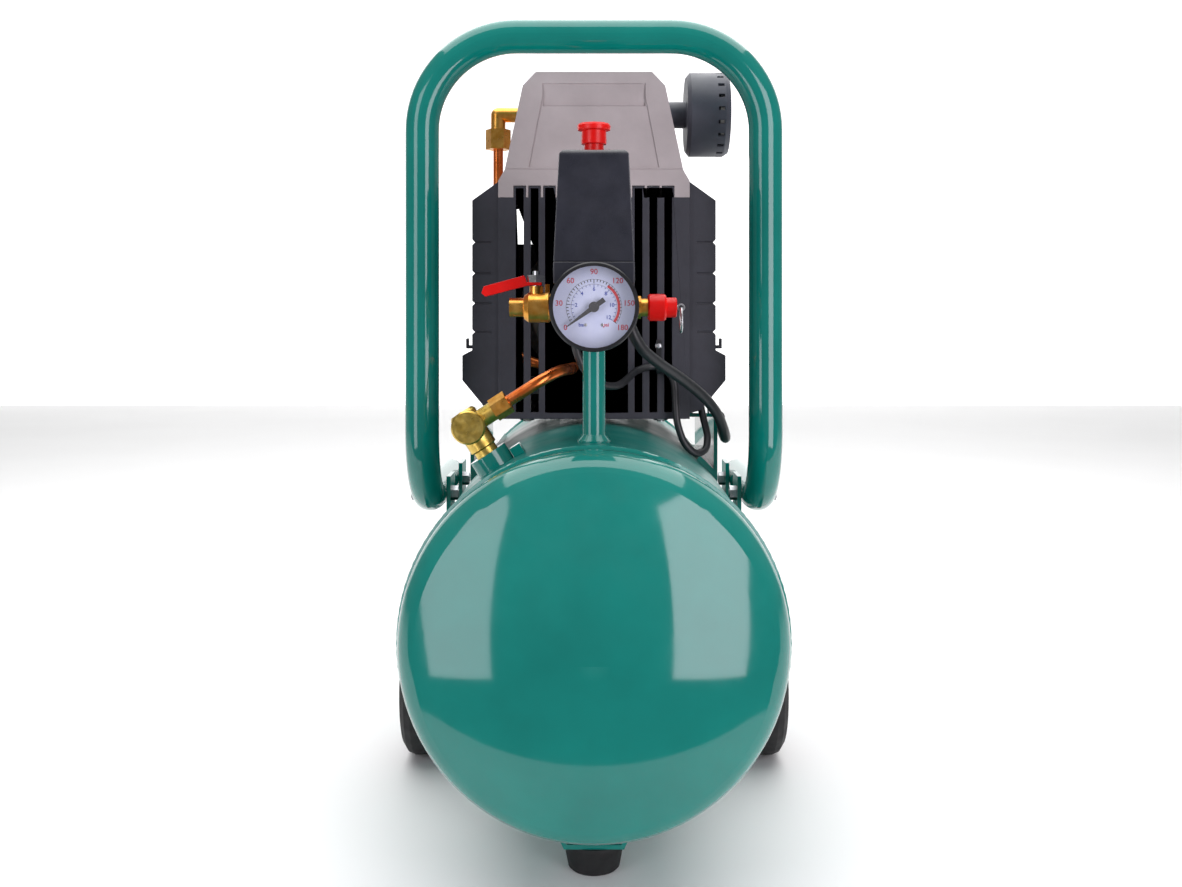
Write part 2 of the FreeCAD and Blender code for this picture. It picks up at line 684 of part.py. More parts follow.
def pressureSwitch():
    low, seam, top = s.switchBaseUp, s.switchBaseUp + 14, s.switchTopUp
    wide, topWide = s.switchHalfWide, s.switchTopHalfWide
    base = newBody("switch_base")
    slab(base, "XY", low, seam, rectangle(-wide, -30, wide, 45))
    hollow(base, "XY", low + 4, seam + 1, rectangle(-wide + 3, -27, wide - 3, 42))
    keep(place(base, 0, s.riserY, 0), "switch_base")
    cover = newBody("switch_cover")
    slab(cover, "XZ", -28, 43, polygon([(-wide, seam), (wide, seam), (topWide, top), (-topWide, top)]))
    roundEdges(cover, 4, lambda middle, edge: middle.z > top.value - 1)
    hollow(cover, "XZ", -26, 41, polygon([
        (2 - wide, seam - 1), (wide - 2, seam - 1), (topWide - 3.5, top - 3), (3.5 - topWide, top - 3)]))
    hollow(cover, "XY", top - 10, top + 1, circle(6.7))
    keep(place(cover, 0, s.riserY, 0), "switch_cover")
    knob = turnedPart("switch_knob", [
        (0, top - 8), (6.5, top - 8), (6.5, top + 6.7), (8.1, top + 6.7), (8.3, top + 7.2), (8.1, top + 15.5),
        (10.6, top + 16), (10.9, top + 17), (10.9, top + 19), (10, top + 20.3), (0, top + 20.3)],
        0, s.riserY, 0)
    keep(knob, "switch_knob")


GLAND_Y = -150
LEAD_GLAND_X = 16
BOOT_LONG = 26
BOOT_HEADING = vec(0.346, 0.154, -0.926)
MOTOR_GLAND_X = -14
MOTOR_CLIP = (49.5, -64.85, 331.9)
LEAD_CLIP = (105.8, 50, 284.5)
CABLE_ENTRY = (82.5, -45.2)


def cableClip(name, radius, spot, turn, reach):
    """Ring round a cable with a flat tab, drawn along the cable's Z and reaching to +Y."""
    half = 2
    clip = newBody(name)
    slab(clip, "XY", -half, half, circle(radius + 2))
    slab(clip, "XY", -half, half, rectangle(0, reach - 1.5, 21, reach))
    slab(clip, "XY", -half, half, rectangle(-2, 0, 2, reach))
    hollow(clip, "XY", -half - 1, half + 1, circle(radius + 0.8))
    return place(clip, *spot, turn)


def strainRelief():
    """Tapered boot that leads the mains lead out of its gland."""
    boot = doc.addObject("Part::Cone", "StrainRelief")
    boot.Radius1 = bind(boot, "Radius1", s.leadRadius + 2.3)
    boot.Radius2 = bind(boot, "Radius2", s.leadRadius + 1)
    boot.Height = BOOT_LONG
    root = (LEAD_GLAND_X, GLAND_Y, s.switchBaseUp - 3)
    return place(boot, *root, FreeCAD.Rotation(vec(0, 0, 1), BOOT_HEADING))


def cableFittings():
    low = s.switchBaseUp
    leadGland = newBody("LeadGland")
    slab(leadGland, "XY", low - 4, low, hexagon(13))
    place(leadGland, LEAD_GLAND_X, GLAND_Y, 0)
    motorGland = newBody("MotorGland")
    slab(motorGland, "XY", low - 4, low, hexagon(13))
    slab(motorGland, "XY", low - 8, low - 4, circle(s.motorCableRadius + 1.6))
    place(motorGland, MOTOR_GLAND_X, GLAND_Y, 0)
    sideways = TO_FRONT.multiply(FreeCAD.Rotation(vec(0, 0, 1), 90))
    grouped("cable_fittings", [
        fused("leadGland", leadGland, strainRelief()), motorGland,
        cableClip("MotorClip", s.motorCableRadius, MOTOR_CLIP, TO_LEFT, s.shroudFrontY - MOTOR_CLIP[1]),
        cableClip("LeadClip", s.leadRadius, LEAD_CLIP, sideways, LEAD_CLIP[0] - s.deckHalfWide)])


def checkValve():
    tilt = FreeCAD.Rotation(vec(0, 1, 0), -s.valveTilt.value)
    axisUp = s.bossTop + 22
    stem = turnedPart("CheckBody", [
        (0, s.bossTop - 8), (7.9, s.bossTop - 8), (7.9, s.bossTop + 4), (9.5, s.bossTop + 5), (9.5, axisUp + 9),
        (8, axisUp + 11), (0, axisUp + 11)], 0, s.bossY, s.tankUp, tilt)
    lean = math.radians(s.valveTilt.value)
    centre = (-axisUp * math.sin(lean), s.bossY, s.tankUp + axisUp * math.cos(lean))
    cap = turnedPart("CheckCap", [
        (0, -10), (10.5, -10), (10.5, 7), (11.4, 8), (11.4, 13.5), (10.4, 14.8), (0, 14.8)], *centre, TO_FRONT)
    port = FreeCAD.Rotation(vec(0, 1, 0), 90 - s.valveTilt.value)
    inlet = cylinder("CheckInlet", 6.5, 19, *centre, port)
    keep(fused("checkValve", stem, cap, inlet), "check_valve_body")
    nut = newBody("TubeNut")
    slab(nut, "XY", 19, 31, hexagon(14), circle(s.pipeRadius))
    return place(nut, *centre, port), centre, lean


def dischargeLine():
    """Copper line from the cylinder head's elbow, inside the shroud and out to the check valve."""
    lowerNut, centre, lean = checkValve()
    outX, up = s.pipeUpX, s.portUp
    elbow = newBody("DischargeElbow")
    slab(elbow, "YZ", outX, -42, circle(5.9, 0, up))
    slab(elbow, "XY", up - 12, up, circle(5.9, outX, 0))
    place(elbow, 0, s.pistonY, 0)
    corner = sphere("ElbowCorner", 5.9, outX, s.pistonY, up)
    elbowBore = cylinder("ElbowBore", s.pipeRadius, 14, outX, s.pistonY, up - 13)
    upperNut = newBody("ElbowNut")
    slab(upperNut, "XY", up - 28, up - 12, hexagon(17.6), circle(s.pipeRadius))
    place(upperNut, outX, s.pistonY, 0)
    grouped("discharge_fittings", [
        cutAway("elbow", fused("elbow", elbow, corner), elbowBore), upperNut, lowerNut])

    def onInlet(distance):
        return (centre[0] + distance * math.cos(lean), centre[1], centre[2] + distance * math.sin(lean))

    route = [onInlet(20), onInlet(68), (-15.5, -128, 334), (-16, -45, 331.5), (-46, -42, 333.5),
             (-70, -37, 346), (outX, -18, 374), (outX, s.pistonY, 410), (outX, s.pistonY, up - 11)]
    keep(shapeFeature("Discharge", cordShape("discharge_tube", route, s.pipeRadius)), "discharge_tube")


# ---- pump and motor ----

def crankcase():
    """Open-fronted casting: crank chamber, bearing wall, motor flange, two feet and a cylinder seat."""
    up, front, wall, neck, flange = s.shaftUp, -30, 14, 22, 38
    base = s.deckTopUp + s.mountHigh
    body = newBody("crankcase")
    slab(body, "XZ", front, flange + 4, circle(50, 0, up), circle(44, 0, up))
    slab(body, "XZ", wall, neck, circle(48, 0, up))
    slab(body, "XZ", flange, flange + 4, circle(s.motorRadius, 0, up), circle(44, 0, up))
    slab(body, "XZ", flange + 4, s.statorFrontY, circle(s.motorRadius, 0, up), circle(s.motorRadius - 5, 0, up))
    slab(body, "XY", base, base + 9, rectangle(-64, -18, 64, 10))
    slab(body, "XZ", -18, 10, polygon([(-40, base + 9), (40, base + 9), (30, base + 40), (-30, base + 40)]))
    slab(body, "XY", up + 36, s.cylinderBaseUp, rectangle(-33, front, 33, 26))
    for side in (1, -1):
        slab(body, "XZ", s.shroudFrontY + 4, front, circle(4.5, side * 33, up - 33), circle(4.5, side * 33, up + 33))
    hollow(body, "XZ", front, wall, circle(44, 0, up))
    hollow(body, "XZ", neck, flange, circle(44, 0, up))
    hollow(body, "XY", up + 30, s.cylinderBaseUp + 1, circle(24.6, 0, s.pistonY))
    hollow(body, "XZ", wall - 1, neck + 1, circle(17.5, 0, up))
    hollow(body, "XY", base - 1, base + 12, *[circle(3.3, x, s.mountFrontY) for x in (s.mountX, -s.mountX)])
    keep(body, "crankcase")


def finnedCylinder():
    low, high = s.cylinderBaseUp, s.plateUp
    finRadius, finThick, pitch = 41, 2.2, 8
    profile = [(s.boreRadius, low), (34, low), (34, low + 6), (29, low + 6)]
    for fin in range(6):
        start = low + 9 + fin * pitch
        profile += [(29, start), (finRadius, start), (finRadius, start + finThick), (29, start + finThick)]
    profile += [(29, high - 4), (34, high - 4), (34, high), (s.boreRadius, high)]
    keep(turnedPart("cylinder", profile, 0, s.pistonY, 0), "cylinder")


def valvePlate():
    body = newBody("valve_plate")
    slab(body, "XY", s.plateUp, s.headBaseUp, rectangle(-42, -42, 42, 42), circle(4, -14, 0), circle(4, 14, 0))
    keep(place(body, 0, s.pistonY, 0), "valve_plate")


def cylinderHead():
    low, high = s.headBaseUp, s.headTopUp
    body = newBody("cylinder_head")
    slab(body, "XY", low, high, rectangle(-42, -42, 42, 42))
    hollow(body, "XY", low - 1, low + 26, rectangle(-36, -34, -3, 34), rectangle(3, -34, 36, 34))
    slot = hollow(body, "XY", high - 9, high + 1, rectangle(-38, -43, -34, 43))
    lineRepeat(body, slot, "X", 9, 9)
    body = place(body, 0, s.pistonY, 0)
    ports = [cylinder("OutletPort", 4, 20, -43, s.pistonY, s.portUp, TO_RIGHT),
             cylinder("InletPort", 5, 20, 43, s.pistonY, s.portUp, TO_LEFT)]
    keep(cutAway("head", body, *ports), "cylinder_head")


def crankshaft():
    up, webFront = s.shaftUp, 3.5
    body = newBody("crankshaft")
    slab(body, "XZ", webFront, 11.5, circle(27, 0, up))
    slab(body, "XZ", 11.5, s.statorBackY + 50, circle(s.shaftRadius, 0, up))
    slab(body, "XZ", 1.5, webFront, circle(8, 0, up + s.throwLong))
    hollow(body, "XZ", webFront - 1, webFront + 9, polygon([
        (12, up + 8), (30, up - 4), (30, up + 30), (12, up + 30)]), polygon([
            (-12, up + 8), (-30, up - 4), (-30, up + 30), (-12, up + 30)]))
    keep(body, "crankshaft")


def connectingRod():
    """Shown on top dead centre; its big end stops just short of the crank pin's end."""
    bigUp = s.shaftUp + s.throwLong
    smallUp = bigUp + s.rodLong
    body = newBody("conrod")
    low, high = s.pistonY - 5, s.pistonY + 5
    slab(body, "XZ", low, high, circle(13.5, 0, bigUp))
    slab(body, "XZ", low, high, circle(8, 0, smallUp))
    slab(body, "XZ", low + 2, high - 2, polygon([
        (-7, bigUp), (7, bigUp), (5, smallUp), (-5, smallUp)]))
    hollow(body, "XZ", low - 1, high + 1, circle(8.5, 0, bigUp))
    hollow(body, "XZ", low - 1, high + 1, circle(s.wristRadius + s.runningGap, 0, smallUp))
    keep(body, "conrod")


def piston():
    pinUp = s.shaftUp + s.throwLong + s.rodLong
    body = newBody("Piston")
    slab(body, "XY", pinUp - 8, s.plateUp - 0.6, circle(s.pistonRadius))
    hollow(body, "XY", pinUp - 9, pinUp + 9, circle(20))
    place(body, 0, s.pistonY, 0)
    pin = cylinder("WristPin", s.wristRadius, 42, 0, s.pistonY + 21, pinUp, TO_FRONT)
    keep(fused("piston", body, pin), "piston")


def motor():
    up = s.shaftUp
    front, back = s.statorFrontY, s.statorBackY
    core = [(34, front), (34, back), (37, back), (37, back + 11), (52, back + 11), (54, back),
            (s.motorRadius, back), (s.motorRadius, front), (54, front), (52, front - 11), (37, front - 11),
            (37, front)]
    keep(turnedPart("stator", core, 0, 0, up, TO_BACK), "stator")
    keep(turnedPart("rotor", ring(s.shaftRadius, 33.4, front, back), 0, 0, up, TO_BACK), "rotor")
    base = s.deckTopUp + s.mountHigh
    wall = back + 14
    bracket = newBody("motor_end_bracket")
    slab(bracket, "XZ", back, wall, circle(s.motorRadius, 0, up), circle(s.motorRadius - 5, 0, up))
    slab(bracket, "XZ", wall, wall + 10, circle(s.motorRadius, 0, up))
    slab(bracket, "XY", base, base + 9, rectangle(-64, s.mountBackY - 7, 64, s.mountBackY + 10))
    slab(bracket, "XZ", s.mountBackY - 7, s.mountBackY + 10, polygon([
        (-44, base + 9), (44, base + 9), (44, up - 45), (-44, up - 45)]))
    hollow(bracket, "XZ", back - 1, wall, circle(s.motorRadius - 5, 0, up))
    turns = [math.radians(60 * step) for step in range(6)]
    vents = [circle(8, 38 * math.cos(a), up + 38 * math.sin(a)) for a in turns]
    hollow(bracket, "XZ", wall - 1, wall + 11, circle(17.5, 0, up), *vents)
    hollow(bracket, "XY", base - 1, base + 12, *[circle(3.3, x, s.mountBackY) for x in (s.mountX, -s.mountX)])
    keep(bracket, "motor_end_bracket")
    bearings = [turnedPart("Bearing", ring(s.shaftRadius + s.runningGap, 17.5, low, low + 9), 0, 0, up, TO_BACK)
                for low in (asSize(13), wall)]
    grouped("bearings", bearings)


def coolingFan():
    low = s.statorBackY + 34
    fan = newBody("cooling_fan")
    revolve(fan, [(s.shaftRadius, low - 5), (13, low - 5), (13, low - 1), (50, low - 1), (50, low + 1),
                  (15, low + 1), (13, low + 14), (s.shaftRadius, low + 14)])
    blade = slab(fan, "XY", low, low + 15, rectangle(12, -1.2, 50, 1.2))
    roundRepeat(fan, blade, "Z", 9)
    keep(place(fan, 0, 0, s.shaftUp, TO_BACK), "cooling_fan")
    cover = newBody("fan_cover")
    start, end = s.statorBackY + 24, s.statorBackY + 62
    revolve(cover, [(s.motorRadius - 3, start), (s.motorRadius, start), (s.motorRadius, end - 9),
                    (s.motorRadius - 8, end), (0, end), (0, end - 2.5), (s.motorRadius - 9.2, end - 2.5),
                    (s.motorRadius - 3, end - 10)])
    slots = []
    for inner, outer in ((14, 24), (28, 38), (42, 50)):
        slots.append(rectangle(inner, -2.2, outer, 2.2))
    vent = hollow(cover, "XY", end - 4, end + 1, *slots)
    roundRepeat(cover, vent, "Z", 14)
    keep(place(cover, 0, 0, s.shaftUp, TO_BACK), "fan_cover")


def deckMounts():
    low, high = s.deckTopUp, s.deckTopUp + s.mountHigh
    profile = [(3.1, low), (13, low), (13, low + 3), (10, low + 5), (10, high - 5), (13, high - 3), (13, high),
               (3.1, high)]
    grouped("deck_mounts", [turnedPart("DeckMount", profile, x, y, 0)
                            for x in (s.mountX, -s.mountX) for y in (s.mountFrontY, s.mountBackY)])


# ---- shroud ----

def shroudFront():
    body = newBody("ShroudPanel")
    front, wide, low, high = s.shroudFrontY, s.grilleHalfWide, s.grilleBaseUp, s.coverBaseUp
    slab(body, "XZ", front, front + 4, rectangle(-wide, low, wide, high))
    firstX = s.slotPitch * (-(SLOT_COUNT - 1) / 2)
    toothHalf = s.slotWide / 2 + 1.5
    tooth = slab(body, "XZ", front, front + 4, rectangle(
        firstX - toothHalf, high - 1, firstX + toothHalf, high + 8.5))
    lineRepeat(body, tooth, "X", s.slotPitch, SLOT_COUNT)
    slot = hollow(body, "XZ", front - 1, front + 5, rectangle(
        firstX - s.slotWide / 2, low + 5, firstX + s.slotWide / 2, high + 7))
    lineRepeat(body, slot, "X", s.slotPitch, SLOT_COUNT)
    pipeHole = cylinder("PipeHole", 7, 30, -16, front + 15, 331.9, TO_FRONT)
    keep(cutAway("panel", body, pipeHole), "shroud_front")


def shroudSide(side, name):
    """Half shell: stepped side wall, front wall, a back wall around the motor and a roof strip."""
    body = newBody("Shell" + name)
    wide, wing, join = s.shellHalfWide, s.wingHalfWide, s.grilleHalfWide
    top, wall = 474.4, 3
    front = s.shroudFrontY + 3

    def mirrored(corners):
        return polygon([(side * x, z) for x, z in corners])

    outside = [(join, top), (wide, top - 14.5), (wide, 430), (wide - 2, 427.8), (wide, 425.5), (wide, 406),
               (wide - 2, 404), (wide, 402), (wide, 383), (wide - 2, 381), (wide, 379), (wide, 361),
               (wide - 2, 359), (wide, 357), (wide, 345), (wing, 341), (wing, 322), (82, 299), (join, 296.5)]
    inside = [(join - 1, top - wall), (join, top - wall), (wide - wall, top - 16), (wide - wall, 343),
              (wing - wall, 338.5), (wing - wall, 323.5), (81, 302.3), (join, 299.8), (join - 1, 299.8)]
    slab(body, "XZ", front, s.shellBackY, mirrored(outside))
    hollow(body, "XZ", front + wall, s.shellBackY + 1, mirrored(inside))
    slab(body, "XZ", s.coverBackY + 1, s.shellBackY, mirrored([
        (0.2, top - wall), (join + 2, top - wall), (join + 2, top - 1.6), (join, top), (0.2, top)]))
    slab(body, "XZ", s.shellBackY - 2.5, s.shellBackY, mirrored([
        (48, 303), (80.5, 303), (wing - 1.5, 322.5), (wing - 1.5, 339.5), (wide - 1.5, 344), (wide - 1.5, 435),
        (48, 435)]))
    hollow(body, "XZ", s.shellBackY - 4, s.shellBackY + 1, circle(s.motorRadius + 2, 0, s.shaftUp))
    if side < 0:
        hollow(body, "XY", 440, 480, circle(s.pipeRadius + 1, s.pipeUpX, s.pistonY))
    else:
        hollow(body, "XY", 290, 312, circle(4.5, *CABLE_ENTRY))
    keep(body, "shroud_side_" + name)


def shroudTop():
    body = newBody("shroud_top")
    front, back, low, top = s.shroudFrontY, s.coverBackY, s.coverBaseUp, s.coverTopUp
    wide = s.grilleHalfWide

    def outline(inset, base):
        right = [(wide - inset, base), (wide - inset, 474.6), (68.3 - inset, 483), (54.5 - inset, 547.5),
                 (44.5 - inset / 2, top - inset)]
        left = [(-x, z) for x, z in reversed(right)]
        return polygon(right + left)

    slab(body, "XZ", front, back, outline(asSize(0), low))
    hollow(body, "XZ", front + 4, back - 2.5, outline(asSize(2.5), low - 1))
    hollow(body, "XZ", front - 1, front + 1.2, polygon([
        (-50, 485), (50, 485), (39.5, 540), (30, 549), (-30, 549), (-39.5, 540)]))
    firstX = s.slotPitch * (-(SLOT_COUNT - 1) / 2)
    notchHalf = s.slotWide / 2 + 1.8
    notch = hollow(body, "XZ", front - 1, front + 5, rectangle(
        firstX - notchHalf, low - 1, firstX + notchHalf, low + 9))
    lineRepeat(body, notch, "X", s.slotPitch, SLOT_COUNT)
    holes = [cylinder("ElbowHole", 7, 40, -80, s.pistonY, s.portUp, TO_RIGHT),
             cylinder("NeckHole", 8.5, 40, 80, s.pistonY, s.portUp, TO_LEFT)]
    keep(cutAway("cover", body, *holes), "shroud_top")


def filterHousing():
    body = newBody("filter_housing")
    revolve(body, [(4, 42), (7, 42), (7, 60.5), (10.6, 60.5), (10.6, 74), (30, 74), (33.6, 77), (33.6, 104),
                   (31, 108), (0, 108), (0, 105.5), (30, 105.5), (31.4, 103.5), (31.4, 78), (30, 76.5),
                   (4, 76.5)])
    vent = hollow(body, "XY", 98, 103, rectangle(30, -1.5, 35, 1.5))
    roundRepeat(body, vent, "Z", 20)
    keep(place(body, 0, s.pistonY, s.portUp, TO_RIGHT), "filter_housing")


# ---- cables ----

LEAD_ROUTE = [
    (25, -146, 364.9), (30.2, -143.7, 351), (44, -129, 339), (63, -105, 326.5),
    (82, -86, 311.5), (93.5, -72, 297.5), (100, -60, 282), (102.5, -44, 275.5), (103, -22, 276.5),
    (104, 4, 280.5), (105.8, 40, 284), (105.6, 76, 285.5), (102, 112, 290), (98, 142, 294), (84, 174, 287),
    (66, 204, 278), (45, 232, 286), (26, 258, 282), (14, 282, 260), (10, 293, 225), (10, 294, 180),
    (10, 293.6, 135), (10, 292, 95), (10, 292.5, 60), (10, 297, 32), (10, 314, 11), (10, 335, 4), (10, 360, 4),
]
MOTOR_CABLE_ROUTE = [
    (-14, -150, 384), (-14, -150, 371), (-14, -149, 352), (-7, -146, 333), (6, -136, 322.5),
    (17, -113, 320.5), (24, -90, 324), (31.5, -72, 330), (43.5, -64.9, 333.5), (55, -64.8, 330.5),
    (61.2, -65.5, 322), (61.8, -67, 309), (62.5, -69, 291), (68, -68.5, 275), (76.5, -65, 266), (86, -58, 268),
    (88, -51, 279), (84.5, -46.5, 293), (81, -44, 312), (75, -34, 332), (66, -12, 347), (54, 6, 351),
    (50, 22, 350), (50, 38, 350),
]


def cables():
    lead = cordShape("mains_lead", LEAD_ROUTE, s.leadRadius)
    keep(shapeFeature("Lead", lead), "mains_lead")
    cable = cordShape("motor_cable", MOTOR_CABLE_ROUTE, s.motorCableRadius)
    keep(shapeFeature("MotorCable", cable), "motor_cable")
    thick = 2 * s.leadRadius
    tailUp = 17.5
    coil = turnedPart("CoilRing", ring(s.coilRadius - thick, s.coilRadius + thick, 0, 2 * thick),
                      s.coilX, s.coilY, 0)
    lead = cylinder("CoilLead", s.leadRadius, s.coilStub, s.coilX + s.coilRadius, s.coilY, s.leadRadius, TO_FRONT)
    tail = cylinder("CoilTail", s.leadRadius, s.coilStub, s.coilX, s.coilY + s.coilRadius, tailUp, TO_LEFT)
    keep(fused("coil", coil, lead, tail), "mains_coil")
    plug = newBody("mains_plug")
    low = s.coilStub
    revolve(plug, [(0, low), (5, low), (6.5, low + 22), (12, low + 28), (17, low + 36), (17.5, low + 56),
                   (17.5, low + 64), (0, low + 64)])
    slab(plug, "XY", low + 64, low + 83, circle(2.4, 0, 9.5), circle(2.4, 0, -9.5))
    keep(place(plug, s.coilX, s.coilY + s.coilRadius, tailUp, TO_LEFT), "mains_plug")


# ---- the whole machine ----

def build():
    tankBarrel()
    tankHeads()
    riserPipe()
    tankBosses()
    standBrackets()
    motorDeck()
    handleLugs()
    handleLoop()
    handleBolts()
    frontFoot()
    mountingBolts()
    wheelAxles()
    wheel("left")
    wheel("right")
    drainCock()
    manifold()
    gauge()
    ballValve()
    safetyValve()
    pressureSwitch()
    cableFittings()
    dischargeLine()
    crankcase()
    finnedCylinder()
    valvePlate()
    cylinderHead()
    crankshaft()
    connectingRod()
    piston()
    motor()
    coolingFan()
    deckMounts()
    shroudFront()
    shroudSide(-1, "left")
    shroudSide(1, "right")
    shroudTop()
    filterHousing()
    cables()


def checkDocument():
    doc.recompute()
    for item in doc.Objects:
        if "Invalid" in item.State or "Error" in item.State:
            raise RuntimeError(f"{item.Name} ({item.Label}) failed: {item.State}")
        if item.TypeId in ("PartDesign::Pocket", "PartDesign::Pad") and item.BaseFeature:
            change = item.Shape.Volume - item.BaseFeature.Shape.Volume
            if (change >= 0) == item.TypeId.endswith("Pocket"):
                raise RuntimeError(f"{item.Name} changes nothing: {change:.3f}")
    for label, item in subParts.items():
        if item.Shape.isNull() or not item.Shape.isValid():
            raise RuntimeError(f"{label} has no valid shape")


def export():
    os.makedirs("parts", exist_ok=True)
    for label, item in subParts.items():
        item.Shape.exportStep(f"parts/{label}.step")
        solids = len(item.Shape.Solids)
        print(f"{label}: {solids} solid{'s' * (solids != 1)}, {item.Shape.Volume / 1000:.1f} cm3")
    print(f"{len(subParts)} sub-parts")


build()
checkDocument()
export()
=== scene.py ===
import math

import bpy
from mathutils import Matrix, Vector


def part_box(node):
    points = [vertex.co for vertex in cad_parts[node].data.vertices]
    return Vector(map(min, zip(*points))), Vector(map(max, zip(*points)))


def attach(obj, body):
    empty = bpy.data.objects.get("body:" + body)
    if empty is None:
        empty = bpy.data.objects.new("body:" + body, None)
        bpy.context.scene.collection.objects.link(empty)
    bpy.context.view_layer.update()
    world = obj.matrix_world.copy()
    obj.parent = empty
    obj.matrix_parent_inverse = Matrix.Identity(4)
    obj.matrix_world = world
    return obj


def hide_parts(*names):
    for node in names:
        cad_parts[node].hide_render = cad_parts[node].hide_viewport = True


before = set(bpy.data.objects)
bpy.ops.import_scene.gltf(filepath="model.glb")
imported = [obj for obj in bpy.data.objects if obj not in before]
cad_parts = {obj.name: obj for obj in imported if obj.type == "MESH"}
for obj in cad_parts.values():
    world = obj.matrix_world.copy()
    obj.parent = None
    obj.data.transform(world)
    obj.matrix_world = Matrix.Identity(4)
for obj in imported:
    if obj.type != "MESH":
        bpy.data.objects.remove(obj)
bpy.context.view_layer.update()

# Portable air compressor: teal enamelled tank and handle, black and grey moulded shroud,
# brass fittings. Metres, +Z up, front towards -Y.

mm = 0.001


# small helpers

def deselectAll():
    if bpy.context.mode != "OBJECT":
        bpy.ops.object.mode_set(mode="OBJECT")
    bpy.ops.object.select_all(action="DESELECT")


def pick(piece):
    deselectAll()
    piece.select_set(True)
    bpy.context.view_layer.objects.active = piece
    return piece


def bake(piece):
    # puts the piece's place into its mesh, so its object sits at the origin
    pick(piece)
    bpy.ops.object.transform_apply(location=True, rotation=True, scale=True)
    return piece


def finish(piece, name, material, body="frame"):
    piece.name = name
    piece.data.materials.clear()
    piece.data.materials.append(material)
    bake(piece)
    if piece.type == "MESH":
        bpy.ops.object.shade_smooth_by_angle(angle=math.radians(32))
    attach(piece, body)
    return piece


def joined(pieces):
    deselectAll()
    for piece in pieces:
        piece.select_set(True)
    bpy.context.view_layer.objects.active = pieces[0]
    bpy.ops.object.join()
    return bpy.context.view_layer.objects.active


def applyModifier(piece, kind, **settings):
    pick(piece)
    modifier = piece.modifiers.new(kind.title(), kind)
    for key, value in settings.items():
        setattr(modifier, key, value)
    bpy.ops.object.modifier_apply(modifier=modifier.name)


def linear(hexText):
    channels = [int(hexText[i:i + 2], 16) / 255 for i in (1, 3, 5)]
    return [c / 12.92 if c <= 0.04045 else ((c + 0.055) / 1.055) ** 2.4 for c in channels] + [1.0]


# camera

cameraSet = {"distance": 0.760, "frontY": -0.225, "height": 0.372, "lens": 36.85,
             "shiftX": -0.0025, "shiftY": -0.1087}

bpy.ops.object.camera_add(location=(0, cameraSet["frontY"] - cameraSet["distance"], cameraSet["height"]),
                          rotation=(math.radians(90), 0, 0))
camera = bpy.context.object
camera.data.lens = cameraSet["lens"]
camera.data.sensor_width = 36
camera.data.shift_x = cameraSet["shiftX"]
camera.data.shift_y = cameraSet["shiftY"]
bpy.context.scene.camera = camera
print("camera placed")

# the mains lead: out of the switch, past the deck and down behind the tank, into its coil

leadSet = {"diameter": 0.008, "length": 1.80, "exit": (0.025, -0.146, 0.3649),
           "coilCentre": (-0.034, 0.412), "coilOuter": 0.048, "coilInner": 0.040, "coilTop": 0.044,
           "turns": 3.25, "turnPoints": 16, "layerUp": 0.0078, "topLayerUp": 0.0058, "tailUp": 0.0175}

leadRoute = [
    (25, -146, 364.9), (30.2, -143.7, 351), (44, -129, 339), (63, -105, 326.5),
    (82, -86, 311.5), (93.5, -72, 297.5), (100, -60, 282), (102.5, -44, 275.5), (103, -22, 276.5),
    (104, 4, 280.5), (105.8, 40, 284), (105.6, 76, 285.5), (102, 112, 290), (98, 142, 294),
    (84, 174, 287), (66, 204, 278), (45, 232, 286), (26, 258, 282), (14, 282, 260), (10, 293, 225),
    (10, 294, 180), (10, 293.6, 135), (10, 292, 95), (10, 292.5, 60), (10, 297, 32), (10, 314, 11),
    (10, 335, 4), (10, 360, 4),
]


def ramp(value, start, span):
    return min(1, max(0, (value - start) / span))


def coilPoints():
    # three turns and a quarter: outer, inner, then one laid on top and off towards the plug
    centreX, centreY = leadSet["coilCentre"]
    inward = leadSet["coilOuter"] - leadSet["coilInner"]
    points = []
    for number in range(1, int(leadSet["turns"] * leadSet["turnPoints"]) + 1):
        turn = number / leadSet["turnPoints"]
        radius = leadSet["coilOuter"] - inward * ramp(turn, 0.8, 0.4)
        radius += (leadSet["coilTop"] - leadSet["coilInner"]) * ramp(turn, 1.85, 0.3)
        height = leadSet["diameter"] / 2 + leadSet["layerUp"] * ramp(turn, 1.7, 0.45)
        height += leadSet["topLayerUp"] * ramp(turn, 2.85, 0.4)
        angle = 2 * math.pi * turn
        points.append((centreX + radius * math.cos(angle), centreY + radius * math.sin(angle), height))
    tailY = centreY + leadSet["coilTop"]
    return points + [(centreX - back, tailY, leadSet["tailUp"]) for back in (0.020, 0.052)]


def nurbsCord(name, points, radius):
    bpy.ops.curve.primitive_nurbs_path_add()
    cord = bpy.context.object
    cord.name = name
    curve = cord.data
    curve.splines.clear()
    spline = curve.splines.new("NURBS")
    spline.points.add(len(points) - 1)
    for spot, place in zip(spline.points, points):
        spot.co = (*place, 1)
    spline.order_u = 3
    spline.use_endpoint_u = True
    curve.dimensions = "3D"
    curve.resolution_u = 10
    curve.bevel_depth = radius
    curve.bevel_resolution = 5
    curve.use_fill_caps = True
    return cord


leadPoints = [Vector(spot) * mm for spot in leadRoute]
leadPoints += [Vector((0.0105, 0.385, 0.004)), Vector((0.0135, 0.402, 0.004))]  # into the first turn
leadPoints += [Vector(spot) for spot in coilPoints()]
mainsLead = nurbsCord("mainsLead", leadPoints, leadSet["diameter"] / 2)
print("mains lead drawn with", len(leadPoints), "points")


# materials: one recipe for all, each with its own colours, scales and wear

